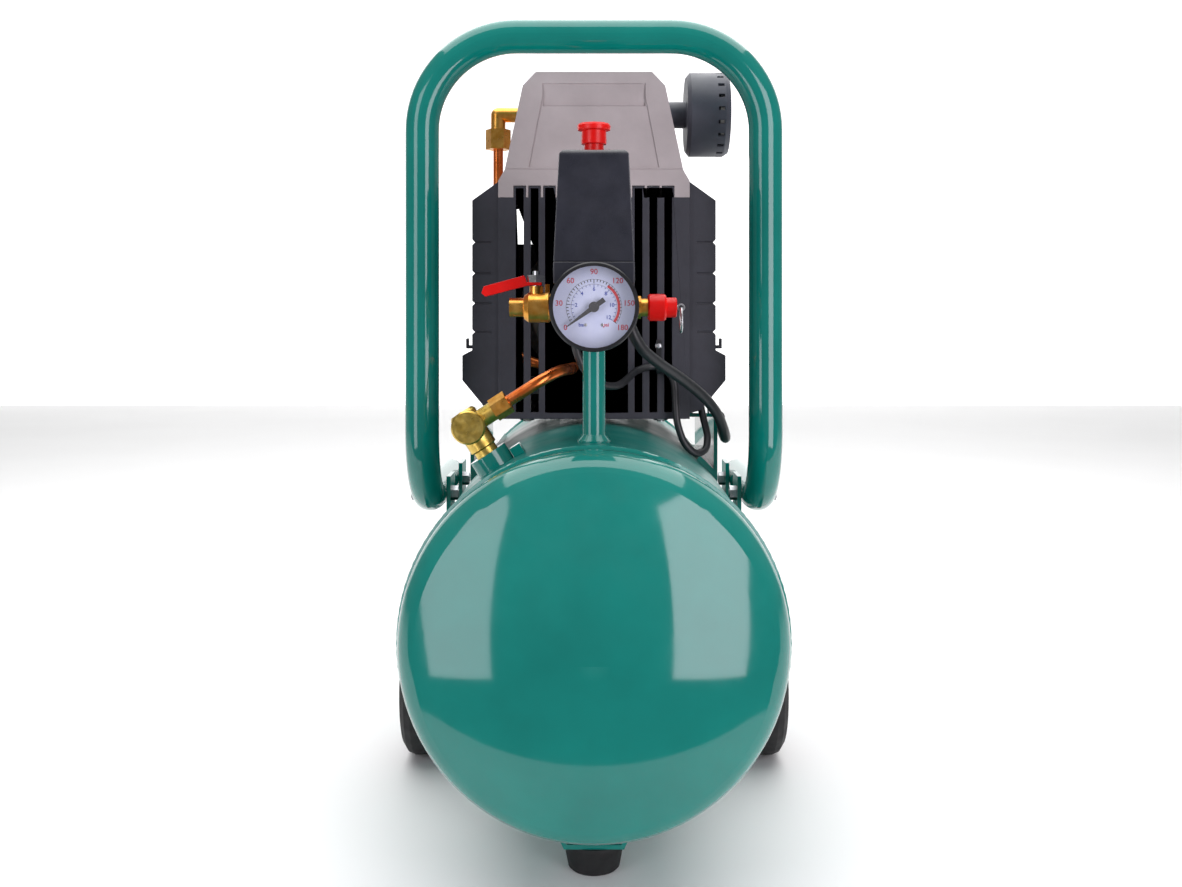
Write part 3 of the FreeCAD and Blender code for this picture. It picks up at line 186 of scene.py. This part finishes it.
def addNode(tree, kind, settings=None, links=None):
    node = tree.nodes.new(kind)
    for name, value in (settings or {}).items():
        if isinstance(name, str) and name in node.bl_rna.properties:
            setattr(node, name, value)
        else:
            node.inputs[name].default_value = value
    for name, output in (links or {}).items():
        tree.links.new(output, node.inputs[name])
    return node


def rampStops(ramp, stops):
    elements = ramp.color_ramp.elements
    while len(elements) < len(stops):
        elements.new(0.5)
    for element, (place, colour) in zip(elements, stops):
        element.position = place
        element.color = colour


def surface(name, look):
    # colour mottle, roughness patches and scales of bump, all from real sizes in millimetres
    material = bpy.data.materials.new(name)
    material.use_nodes = True
    tree = material.node_tree
    tree.nodes.clear()
    place = addNode(tree, "ShaderNodeTexCoord").outputs["Object"]
    shader = addNode(tree, "ShaderNodeBsdfPrincipled", look.get("fixed"))
    mottle = addNode(tree, "ShaderNodeTexNoise",
                     {"Scale": 1000 / look["mottleMm"], "Detail": 4.0, "Roughness": 0.6}, {"Vector": place})
    colours = addNode(tree, "ShaderNodeValToRGB", links={"Fac": mottle.outputs["Fac"]})
    first, second = (linear(text) for text in look["colours"])
    rampStops(colours, [(0.3, first), (0.72, second)])
    colour = colours.outputs["Color"]
    if "dust" in look:
        # pale dust settles in patches on faces that look up
        facing = addNode(tree, "ShaderNodeSeparateXYZ",
                         links={"Vector": addNode(tree, "ShaderNodeNewGeometry").outputs["Normal"]})
        drifts = addNode(tree, "ShaderNodeTexNoise", {"Scale": 45.0, "Detail": 6.0}, {"Vector": place})
        amount = addNode(tree, "ShaderNodeMath", {"operation": "MULTIPLY", "use_clamp": True},
                         {0: facing.outputs["Z"], 1: drifts.outputs["Fac"]})
        share = addNode(tree, "ShaderNodeMath",
                        {"operation": "MULTIPLY", "use_clamp": True, 1: look["dust"]},
                        {0: amount.outputs[0]})
        mixed = addNode(tree, "ShaderNodeMixRGB", {"Color2": linear("#C9C6BE")},
                        {"Fac": share.outputs[0], "Color1": colour})
        colour = mixed.outputs["Color"]
    tree.links.new(colour, shader.inputs["Base Color"])
    patches = addNode(tree, "ShaderNodeTexNoise", {"Scale": 1000 / look["patchMm"], "Detail": 5.0},
                      {"Vector": place})
    low, high = look["roughness"]
    spread = addNode(tree, "ShaderNodeMapRange",
                     {"From Min": 0.3, "From Max": 0.7, "To Min": low, "To Max": high},
                     {"Value": patches.outputs["Fac"]})
    tree.links.new(spread.outputs["Result"], shader.inputs["Roughness"])
    normal = None
    for sizeMm, heightMm in look.get("bumps", ()):
        grain = addNode(tree, "ShaderNodeTexNoise", {"Scale": 1000 / sizeMm, "Detail": 2.0},
                        {"Vector": place})
        bump = addNode(tree, "ShaderNodeBump", {"Strength": 1.0, "Distance": heightMm * mm},
                       {"Height": grain.outputs["Fac"]})
        if normal:
            tree.links.new(normal, bump.inputs["Normal"])
        normal = bump.outputs["Normal"]
    if normal:
        tree.links.new(normal, shader.inputs["Normal"])
    addNode(tree, "ShaderNodeOutputMaterial", links={"Surface": shader.outputs["BSDF"]})
    return material


# oven-cured enamel over steel: deep glossy teal with a faint orange peel
tealEnamel = surface("tealEnamel", {
    "colours": ("#04766C", "#068277"), "mottleMm": 60, "roughness": (0.06, 0.11), "patchMm": 30,
    "bumps": [(5.0, 0.008), (1.2, 0.001)], "dust": 0.06,
    "fixed": {"Coat Weight": 0.25, "Coat Roughness": 0.06, "IOR": 1.5}})

# the same enamel on the barrel, duller where wiping cloths and overspray have flattened it
barrelEnamel = surface("barrelEnamel", {
    "colours": ("#067068", "#087C74"), "mottleMm": 50, "roughness": (0.30, 0.44), "patchMm": 40,
    "bumps": [(5.0, 0.008), (0.9, 0.004)], "fixed": {"IOR": 1.45}})

# spark-eroded black ABS: even matt grain that breaks up the highlights
blackAbs = surface("blackAbs", {
    "colours": ("#2A2B34", "#34353F"), "mottleMm": 22, "roughness": (0.48, 0.60), "patchMm": 25,
    "bumps": [(0.9, 0.06)], "dust": 0.14, "fixed": {"IOR": 1.5}})

# intake filter's shell: the same black in a lighter, dustier batch
filterAbs = surface("filterAbs", {
    "colours": ("#3F424D", "#494C58"), "mottleMm": 18, "roughness": (0.42, 0.54), "patchMm": 16,
    "bumps": [(0.9, 0.05)], "dust": 0.10, "fixed": {"IOR": 1.5}})

# grey ABS of the head cover, same grain, satin
greyAbs = surface("greyAbs", {
    "colours": ("#ABA2A3", "#B6ADAE"), "mottleMm": 26, "roughness": (0.42, 0.54), "patchMm": 25,
    "bumps": [(0.9, 0.05)], "dust": 0.08, "fixed": {"IOR": 1.5}})

# polished black phenolic and nylon: smooth, a little glossy
blackNylon = surface("blackNylon", {
    "colours": ("#17181B", "#1E1F23"), "mottleMm": 9, "roughness": (0.26, 0.38), "patchMm": 10,
    "bumps": [(1.4, 0.015)], "fixed": {"IOR": 1.52}})

# pressure switch cover: dark moulded ABS with a fine leather-like grain
switchAbs = surface("switchAbs", {
    "colours": ("#22242D", "#2B2D37"), "mottleMm": 12, "roughness": (0.26, 0.38), "patchMm": 14,
    "bumps": [(0.8, 0.05)], "dust": 0.10, "fixed": {"IOR": 1.5}})

# red dipped vinyl and moulded caps: saturated, satin
redVinyl = surface("redVinyl", {
    "colours": ("#DC0402", "#EE0A04"), "mottleMm": 10, "roughness": (0.28, 0.40), "patchMm": 8,
    "bumps": [(1.6, 0.03)], "fixed": {"IOR": 1.42}})

# machined brass: warm yellow with soft darker patches where it was handled
machinedBrass = surface("machinedBrass", {
    "colours": ("#DB9438", "#F5BE66"), "mottleMm": 7, "roughness": (0.26, 0.42), "patchMm": 5,
    "bumps": [(0.7, 0.02)], "fixed": {"Metallic": 1.0}})

# the check valve's older brass: greener and duller
oliveBrass = surface("oliveBrass", {
    "colours": ("#C8A548", "#E8CC74"), "mottleMm": 6, "roughness": (0.24, 0.44), "patchMm": 5,
    "bumps": [(1.2, 0.05)], "fixed": {"Metallic": 1.0}})

# drawn copper tube: bright orange with faint heat tint
drawnCopper = surface("drawnCopper", {
    "colours": ("#E06A2C", "#F59152"), "mottleMm": 12, "roughness": (0.22, 0.36), "patchMm": 9,
    "bumps": [(2.0, 0.02)], "fixed": {"Metallic": 1.0}})

# bright zinc plate on bolts, nuts and axles
zincPlate = surface("zincPlate", {
    "colours": ("#A9ACB0", "#C6C8CA"), "mottleMm": 5, "roughness": (0.24, 0.42), "patchMm": 4,
    "bumps": [(0.6, 0.02)], "fixed": {"Metallic": 1.0}})

# ground steel of shafts and plates
groundSteel = surface("groundSteel", {
    "colours": ("#8C8E90", "#A2A4A6"), "mottleMm": 8, "roughness": (0.22, 0.36), "patchMm": 6,
    "bumps": [(0.5, 0.01)], "fixed": {"Metallic": 1.0}})

# sand-cast aluminium: pale grey, granular
castAluminium = surface("castAluminium", {
    "colours": ("#8F9193", "#A6A8A9"), "mottleMm": 6, "roughness": (0.46, 0.62), "patchMm": 9,
    "bumps": [(1.1, 0.12), (0.4, 0.03)], "fixed": {"Metallic": 0.9}})

# painted laminations and windings of the motor
paintedIron = surface("paintedIron", {
    "colours": ("#1C1D20", "#27282C"), "mottleMm": 10, "roughness": (0.5, 0.66), "patchMm": 9,
    "bumps": [(1.0, 0.10)], "fixed": {"IOR": 1.5}})

# moulded rubber of the foot, mounts and tyres: almost black, dusty and rough
mouldedRubber = surface("mouldedRubber", {
    "colours": ("#141415", "#1D1D1E"), "mottleMm": 8, "roughness": (0.62, 0.80), "patchMm": 10,
    "bumps": [(0.8, 0.08)], "dust": 0.16, "fixed": {"IOR": 1.5}})

# extruded PVC sheath of the cables: smooth with a soft sheen
pvcSheath = surface("pvcSheath", {
    "colours": ("#1B1C1F", "#26272B"), "mottleMm": 14, "roughness": (0.36, 0.48), "patchMm": 12,
    "bumps": [(1.5, 0.02)], "fixed": {"IOR": 1.52}})

# chrome plate of the lever's nut
chromePlate = surface("chromePlate", {
    "colours": ("#C8CACC", "#DADCDE"), "mottleMm": 4, "roughness": (0.08, 0.18), "patchMm": 3,
    "bumps": [(0.8, 0.01)], "fixed": {"Metallic": 1.0}})

# printed white dial plate, slightly blue
dialPrint = surface("dialPrint", {
    "colours": ("#CCD5F4", "#D6DEF8"), "mottleMm": 8, "roughness": (0.38, 0.46), "patchMm": 8,
    "bumps": [(0.5, 0.005)], "fixed": {"IOR": 1.5}})

# printing inks of the dial: matt
inkBlack, inkRed, inkPink, inkBlue = (surface(name, {
    "colours": pair, "mottleMm": 3, "roughness": (0.45, 0.55), "patchMm": 3, "fixed": {"IOR": 1.5}})
    for name, pair in (("inkBlack", ("#16171C", "#22232A")), ("inkRed", ("#C81420", "#D62230")),
                       ("inkPink", ("#CC2F4C", "#D43E5A")), ("inkBlue", ("#1F3A9C", "#2A48AC"))))


def clearGlass():
    # thin pressed glass of the gauge: nearly invisible, with a crisp glint and slight smears
    material = bpy.data.materials.new("gaugeWindow")
    material.use_nodes = True
    tree = material.node_tree
    shader = tree.nodes["Principled BSDF"]
    place = addNode(tree, "ShaderNodeTexCoord").outputs["Object"]
    smear = addNode(tree, "ShaderNodeTexNoise", {"Scale": 60.0, "Detail": 3.0}, {"Vector": place})
    spread = addNode(tree, "ShaderNodeMapRange", {"To Min": 0.01, "To Max": 0.05},
                     {"Value": smear.outputs["Fac"]})
    tree.links.new(spread.outputs["Result"], shader.inputs["Roughness"])
    shader.inputs["Base Color"].default_value = linear("#FFFFFF")
    shader.inputs["Alpha"].default_value = 0.03
    shader.inputs["IOR"].default_value = 1.5
    return material


gaugeWindow = clearGlass()

finishSet = [
    (barrelEnamel, ["tank_barrel"]),
    (tealEnamel, ["tank_heads", "riser_pipe", "tank_bosses", "stand_brackets", "motor_deck",
        "handle_lugs", "handle_loop"]),
    (zincPlate, ["handle_bolts", "mounting_bolts", "wheel_axles", "safety_valve_pin",
        "safety_valve_ring"]),
    (mouldedRubber, ["front_foot", "wheel_tyre_left", "wheel_tyre_right", "deck_mounts"]),
    (blackNylon, ["wheel_hub_left", "wheel_hub_right", "gauge_case", "cable_fittings", "cooling_fan",
        "mains_plug"]),
    (machinedBrass, ["drain_cock_body", "drain_cock_screw", "manifold", "ball_valve_body",
        "safety_valve_body", "discharge_fittings"]),
    (dialPrint, ["gauge_dial"]),
    (gaugeWindow, ["gauge_glass"]),
    (inkBlack, ["gauge_needle"]),
    (chromePlate, ["ball_valve_stem"]),
    (redVinyl, ["valve_lever", "safety_valve_cap", "switch_knob"]),
    (switchAbs, ["switch_base", "switch_cover"]),
    (oliveBrass, ["check_valve_body"]),
    (drawnCopper, ["discharge_tube"]),
    (castAluminium, ["crankcase", "cylinder", "cylinder_head", "conrod", "piston", "motor_end_bracket"]),
    (groundSteel, ["valve_plate", "crankshaft", "rotor", "bearings"]),
    (paintedIron, ["stator"]),
    (blackAbs, ["fan_cover", "shroud_front", "shroud_side_left", "shroud_side_right"]),
    (greyAbs, ["shroud_top"]),
    (filterAbs, ["filter_housing"]),
    (pvcSheath, ["mains_lead", "motor_cable", "mains_coil"]),
]
cadFinish = {nodeName: material for material, names in finishSet for nodeName in names}
for nodeName, material in cadFinish.items():
    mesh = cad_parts[nodeName].data
    mesh.materials.clear()
    mesh.materials.append(material)
print("materials made and put on", len(cadFinish), "nodes")

# the lead is clad and declared now that its sheath exists
mainsLead.data.materials.append(pvcSheath)
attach(mainsLead, "frame")
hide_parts("mains_lead", "mains_coil")


# moulded and folded parts get soft edges, on a merged copy of their CAD mesh

def softEdged(nodeName, width, body="frame", cutters=()):
    deselectAll()
    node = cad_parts[nodeName]
    node.select_set(True)
    bpy.context.view_layer.objects.active = node
    bpy.ops.object.duplicate()
    piece = bpy.context.view_layer.objects.active
    for key in [key for key in piece.keys() if key.startswith("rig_")]:
        del piece[key]
    piece.parent = None
    bpy.ops.object.mode_set(mode="EDIT")
    bpy.ops.mesh.select_mode(type="VERT")
    bpy.ops.mesh.select_all(action="SELECT")
    bpy.ops.mesh.remove_doubles(threshold=0.00001)
    bpy.ops.mesh.dissolve_limited(angle_limit=math.radians(0.6))
    bpy.ops.object.mode_set(mode="OBJECT")
    for cutter in cutters:
        applyModifier(piece, "BOOLEAN", object=cutter, operation="DIFFERENCE", solver="EXACT")
        bpy.data.objects.remove(cutter)
    applyModifier(piece, "BEVEL", width=width, segments=2, limit_method="ANGLE",
                  angle_limit=math.radians(28), use_clamp_overlap=True, miter_outer="MITER_ARC")
    finish(piece, nodeName.replace("_", "-") + "-soft", cadFinish[nodeName], body)
    applyModifier(piece, "WEIGHTED_NORMAL", keep_sharp=True)
    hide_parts(nodeName)
    return piece


def cutterBox(size, place, tilt=0.0):
    bpy.ops.mesh.primitive_cube_add(size=1)
    box = bpy.context.object
    box.scale = size
    bake(box)
    box.rotation_euler = (tilt, 0, 0)
    box.location = place
    return bake(box)


# head cover: the recessed panel falls away towards its top, and a groove parts the lower band
coverSet = {"edge": 0.0009, "panelSize": (0.079, 0.004, 0.0172), "panelUp": 0.5404, "panelTilt": 8,
            "grooveSize": (0.160, 0.0010, 0.0007), "grooveUp": 0.4835}
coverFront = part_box("shroud_top")[0].y
coverCuts = [cutterBox(coverSet["panelSize"], (0, coverFront + 0.0002, coverSet["panelUp"]),
                       math.radians(coverSet["panelTilt"])),
             cutterBox(coverSet["grooveSize"], (0, coverFront, coverSet["grooveUp"]))]
softEdged("shroud_top", coverSet["edge"], cutters=coverCuts)

# side shells: a groove across the front of each panel at every step of its outline
shellSet = {"edge": 0.0006, "grooveSize": (0.0155, 0.0022, 0.0016), "grooveX": 0.0865,
            "grooveUps": (0.4278, 0.4040, 0.3810, 0.3590)}
for side, nodeName in ((-1, "shroud_side_left"), (1, "shroud_side_right")):
    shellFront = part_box(nodeName)[0].y
    grooves = [cutterBox(shellSet["grooveSize"], (side * shellSet["grooveX"], shellFront, z))
               for z in shellSet["grooveUps"]]
    softEdged(nodeName, shellSet["edge"], cutters=grooves)

# the rest need only their edge width
softParts = {"shroud_front": 0.0004, "switch_base": 0.0008, "switch_cover": 0.0008,
             "stand_brackets": 0.0005, "motor_deck": 0.0007}
for nodeName, width in softParts.items():
    softEdged(nodeName, width)
softEdged("valve_lever", 0.0012, "ball_valve_lever")
print("soft edges on", len(softParts) + 4, "parts")


# gauge dial printing

dialLow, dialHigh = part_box("gauge_dial")
dialCentre = (dialLow + dialHigh) / 2
dialSet = {"frontY": dialLow.y, "zero": 216, "sweep": 252, "ink": 0.00024, "inkSpread": 0.00006,
           "outerNumbers": 0.0220, "outerLine": 0.0174, "innerLine": 0.0143, "innerNumbers": 0.0112,
           "redBand": 0.0157, "units": 0.0135}
faceFront = Matrix.Rotation(math.radians(90), 4, "X")


def dialPlace(radius, degrees, turn=0.0):
    angle = math.radians(degrees)
    spot = Vector((dialCentre.x + radius * math.cos(angle), dialSet["frontY"],
                   dialCentre.z + radius * math.sin(angle)))
    return Matrix.Translation(spot) @ faceFront @ Matrix.Rotation(turn, 4, "Z")


def dialTicks(name, radius, look, material):
    # every so many marks, a long one
    ticks = []
    for number in range(look["count"] + 1):
        degrees = dialSet["zero"] - dialSet["sweep"] * number / look["count"]
        length = look["short"] if number % look["every"] else look["long"]
        bpy.ops.mesh.primitive_cube_add(size=1)
        tick = bpy.context.object
        tick.matrix_world = (dialPlace(radius - length / 2, degrees, math.radians(degrees))
                             @ Matrix.Diagonal((length, look["wide"], dialSet["ink"], 1)))
        ticks.append(tick)
    return finish(joined(ticks), name, material)


def dialText(label, radius, degrees, size):
    bpy.ops.object.text_add()
    text = bpy.context.object
    text.data.body = label
    text.data.align_x = "CENTER"
    text.data.align_y = "CENTER"
    text.data.size = size
    text.data.extrude = dialSet["ink"] / 2
    text.data.offset = dialSet["inkSpread"]
    text.data.resolution_u = 3
    text.matrix_world = dialPlace(radius, degrees)
    pick(text)
    bpy.ops.object.convert(target="MESH")
    return bpy.context.object


def dialNumbers(name, labels, radius, size, material):
    texts = []
    for number, label in enumerate(labels):
        degrees = dialSet["zero"] - dialSet["sweep"] * number / (len(labels) - 1)
        texts.append(dialText(label, radius, degrees, size))
    return finish(joined(texts), name, material)


def dialArc(name, radius, width, start, end, material):
    # a printed band: its cross-section, spun about the dial's centre
    bpy.ops.mesh.primitive_plane_add(size=1)
    band = bpy.context.object
    band.matrix_world = (dialPlace(radius, start, math.radians(start))
                         @ Matrix.Rotation(math.radians(90), 4, "X")
                         @ Matrix.Diagonal((width, dialSet["ink"], 1, 1)))
    bake(band)
    bpy.ops.object.mode_set(mode="EDIT")
    bpy.ops.mesh.select_all(action="SELECT")
    bpy.ops.mesh.spin(steps=48, angle=math.radians(start - end), axis=(0, -1, 0),
                      center=(dialCentre.x, dialSet["frontY"], dialCentre.z))
    bpy.ops.mesh.select_all(action="SELECT")
    bpy.ops.mesh.normals_make_consistent(inside=False)
    bpy.ops.object.mode_set(mode="OBJECT")
    return finish(band, name, material)


dialTicks("dialOuterTicks", dialSet["outerLine"],
          {"count": 36, "every": 6, "long": 0.0026, "short": 0.0015, "wide": 0.00046}, inkBlack)
dialTicks("dialInnerTicks", dialSet["innerLine"],
          {"count": 24, "every": 4, "long": 0.0021, "short": 0.0012, "wide": 0.00034}, inkBlue)
dialNumbers("dialOuterNumbers", [str(30 * step) for step in range(7)], dialSet["outerNumbers"], 0.0048,
            inkPink)
dialNumbers("dialInnerNumbers", [str(2 * step) for step in range(7)], dialSet["innerNumbers"], 0.0034,
            inkBlue)
dialEnd = dialSet["zero"] - dialSet["sweep"]
dialArc("dialRedBand", dialSet["redBand"], 0.0017, 57, dialEnd, inkRed)
dialArc("dialOuterLine", dialSet["outerLine"], 0.00016, dialSet["zero"], dialEnd, inkBlack)
dialArc("dialInnerLine", dialSet["innerLine"], 0.00014, dialSet["zero"], dialEnd, inkBlack)
finish(joined([dialText("bar", dialSet["units"], 236, 0.0032)]), "dialBarMark", inkBlue)
finish(joined([dialText("psi", dialSet["units"], 304, 0.0032)]), "dialPsiMark", inkPink)

dialScrews = []
for side in (-1, 1):
    bpy.ops.mesh.primitive_cylinder_add(vertices=20, radius=0.0010, depth=0.0006)
    screw = bpy.context.object
    screw.matrix_world = Matrix.Translation((dialCentre.x + side * 0.0052, dialSet["frontY"] - 0.0003,
                                             dialCentre.z - 0.0112)) @ faceFront
    applyModifier(screw, "BEVEL", width=0.0002, segments=2)
    dialScrews.append(screw)
finish(joined(dialScrews), "dialScrews", zincPlate)
print("gauge dial printed")


# weld beads, one ring of overlapping ripples at each tank seam

beadSet = {"tankRadius": 0.1225, "axisUp": 0.166, "radius": 0.0018, "ripples": 150, "swell": 0.0012}


def weldBead(y):
    bpy.ops.mesh.primitive_torus_add(major_segments=beadSet["ripples"] * 2, minor_segments=8,
                                     major_radius=beadSet["tankRadius"], minor_radius=beadSet["radius"],
                                     location=(0, y, beadSet["axisUp"]), rotation=(math.radians(90), 0, 0))
    bead = bake(bpy.context.object)
    for vertex in bead.data.vertices:
        up = vertex.co.z - beadSet["axisUp"]
        swell = 1 + beadSet["swell"] * math.cos(math.atan2(up, vertex.co.x) * beadSet["ripples"])
        vertex.co.x *= swell
        vertex.co.z = beadSet["axisUp"] + up * swell
    return bead


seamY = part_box("tank_barrel")[1].y
finish(joined([weldBead(-seamY), weldBead(seamY)]), "seamBeads", tealEnamel)


# black end plugs of the handle tube

plugSet = {"x": 0.1277, "y": 0.0938, "up": 0.231, "radius": 0.0123, "deep": 0.004, "edge": 0.0014}


def handlePlug(side):
    bpy.ops.mesh.primitive_cylinder_add(vertices=48, radius=plugSet["radius"], depth=plugSet["deep"])
    plug = bpy.context.object
    plug.matrix_world = (Matrix.Translation((side * plugSet["x"], plugSet["y"], plugSet["up"]))
                         @ Matrix.Rotation(math.radians(-90), 4, "X"))
    applyModifier(plug, "BEVEL", width=plugSet["edge"], segments=3, limit_method="ANGLE")
    return plug


finish(joined([handlePlug(-1), handlePlug(1)]), "handleEndPlugs", blackNylon)


# small moulded hooks on the sides of the shroud, and the clip's screw

hookSet = {"y": -0.052, "armX": 0.0958, "armUp": 0.3475, "armSize": (0.0050, 0.007, 0.0025),
           "lipX": 0.0974, "lipUp": 0.3510, "lipSize": (0.0018, 0.007, 0.0060), "edge": 0.0004}


def hookPart(side, part):
    place = (side * hookSet[part + "X"], hookSet["y"], hookSet[part + "Up"])
    bpy.ops.mesh.primitive_cube_add(size=1, location=place)
    box = bpy.context.object
    box.scale = hookSet[part + "Size"]
    return bake(box)


def shroudHook(side):
    hook = joined([hookPart(side, "arm"), hookPart(side, "lip")])
    applyModifier(hook, "BEVEL", width=hookSet["edge"], segments=2, limit_method="ANGLE")
    return hook


finish(joined([shroudHook(-1), shroudHook(1)]), "shroudHooks", blackAbs)

clipSet = {"place": (0.0495, -0.0602, 0.3485), "radius": 0.0030, "flatten": 0.55}


def panHead():
    # domed screw head, facing the front
    bpy.ops.mesh.primitive_uv_sphere_add(segments=28, ring_count=14, radius=clipSet["radius"],
                                         location=clipSet["place"])
    head = bpy.context.object
    head.scale = (1, clipSet["flatten"], 1)
    bake(head)
    bpy.ops.object.mode_set(mode="EDIT")
    bpy.ops.mesh.select_all(action="SELECT")
    bpy.ops.mesh.bisect(plane_co=clipSet["place"], plane_no=(0, 1, 0), clear_outer=True, use_fill=True)
    bpy.ops.object.mode_set(mode="OBJECT")
    return head


finish(panHead(), "clipScrew", zincPlate)
print("small fittings added")


# studio: pale table top, paper backdrop, two tall soft boxes in front and one soft light overhead

lightSet = [
    {"name": "leftBox", "place": (-0.90, -1.08, 0.36), "target": (0, -0.2, 0.25),
     "size": (0.52, 1.36), "watts": 7.4, "tint": (0.97, 0.93, 1.0)},
    {"name": "rightBox", "place": (0.80, -1.18, 0.36), "target": (0, -0.2, 0.25),
     "size": (0.60, 1.36), "watts": 11.5, "tint": (1.0, 0.93, 1.0)},
    {"name": "overhead", "place": (0, 0.5, 2.0), "target": (0, 0.5, 0.0),
     "size": (2.6, 3.0), "watts": 64, "tint": (1.0, 1.0, 1.0)},
]
for entry in lightSet:
    bpy.ops.object.light_add(type="AREA", location=entry["place"])
    light = bpy.context.object
    light.name = entry["name"]
    light.data.shape = "RECTANGLE"
    light.data.size, light.data.size_y = entry["size"]
    light.data.energy = entry["watts"]
    light.data.color = entry["tint"]
    aim = Vector(entry["target"]) - Vector(entry["place"])
    light.rotation_euler = aim.to_track_quat("-Z", "Y").to_euler()

world = bpy.data.worlds.new("studio")
bpy.context.scene.world = world
world.use_nodes = True
world.node_tree.nodes["Background"].inputs["Color"].default_value = linear("#FFFFFF")
world.node_tree.nodes["Background"].inputs["Strength"].default_value = 0.20
bpy.context.scene.view_settings.view_transform = "Standard"

# the table top ends just in front of the tank, and the lit backdrop stands well behind it
studioSet = {"tableSize": (9, 4.36), "tableY": 1.82, "paperSize": (9, 6), "paperY": 4.0, "paperUp": 1.5}


def studioSheet(name, size, place, material, tilt=0):
    bpy.ops.mesh.primitive_plane_add(size=1, location=place, rotation=(math.radians(tilt), 0, 0))
    sheet = bpy.context.object
    sheet.name = name
    sheet.scale = (*size, 1)
    bake(sheet)
    sheet.data.materials.append(material)


# matt laminate of the table top
paleFloor = surface("paleFloor", {
    "colours": ("#F7F7F7", "#FAFAFA"), "mottleMm": 400, "roughness": (0.55, 0.65), "patchMm": 300,
    "fixed": {"IOR": 1.4}})

# uncoated backdrop paper, lit from its own side
litPaper = surface("litPaper", {
    "colours": ("#FAFAFA", "#FCFCFC"), "mottleMm": 400, "roughness": (0.8, 0.9), "patchMm": 300,
    "fixed": {"Emission Color": linear("#FFFFFF"), "Emission Strength": 0.9}})

studioSheet("floor", studioSet["tableSize"], (0, studioSet["tableY"], 0), paleFloor)
studioSheet("backdrop", studioSet["paperSize"], (0, studioSet["paperY"], studioSet["paperUp"]), litPaper,
            tilt=90)
print("studio lit")
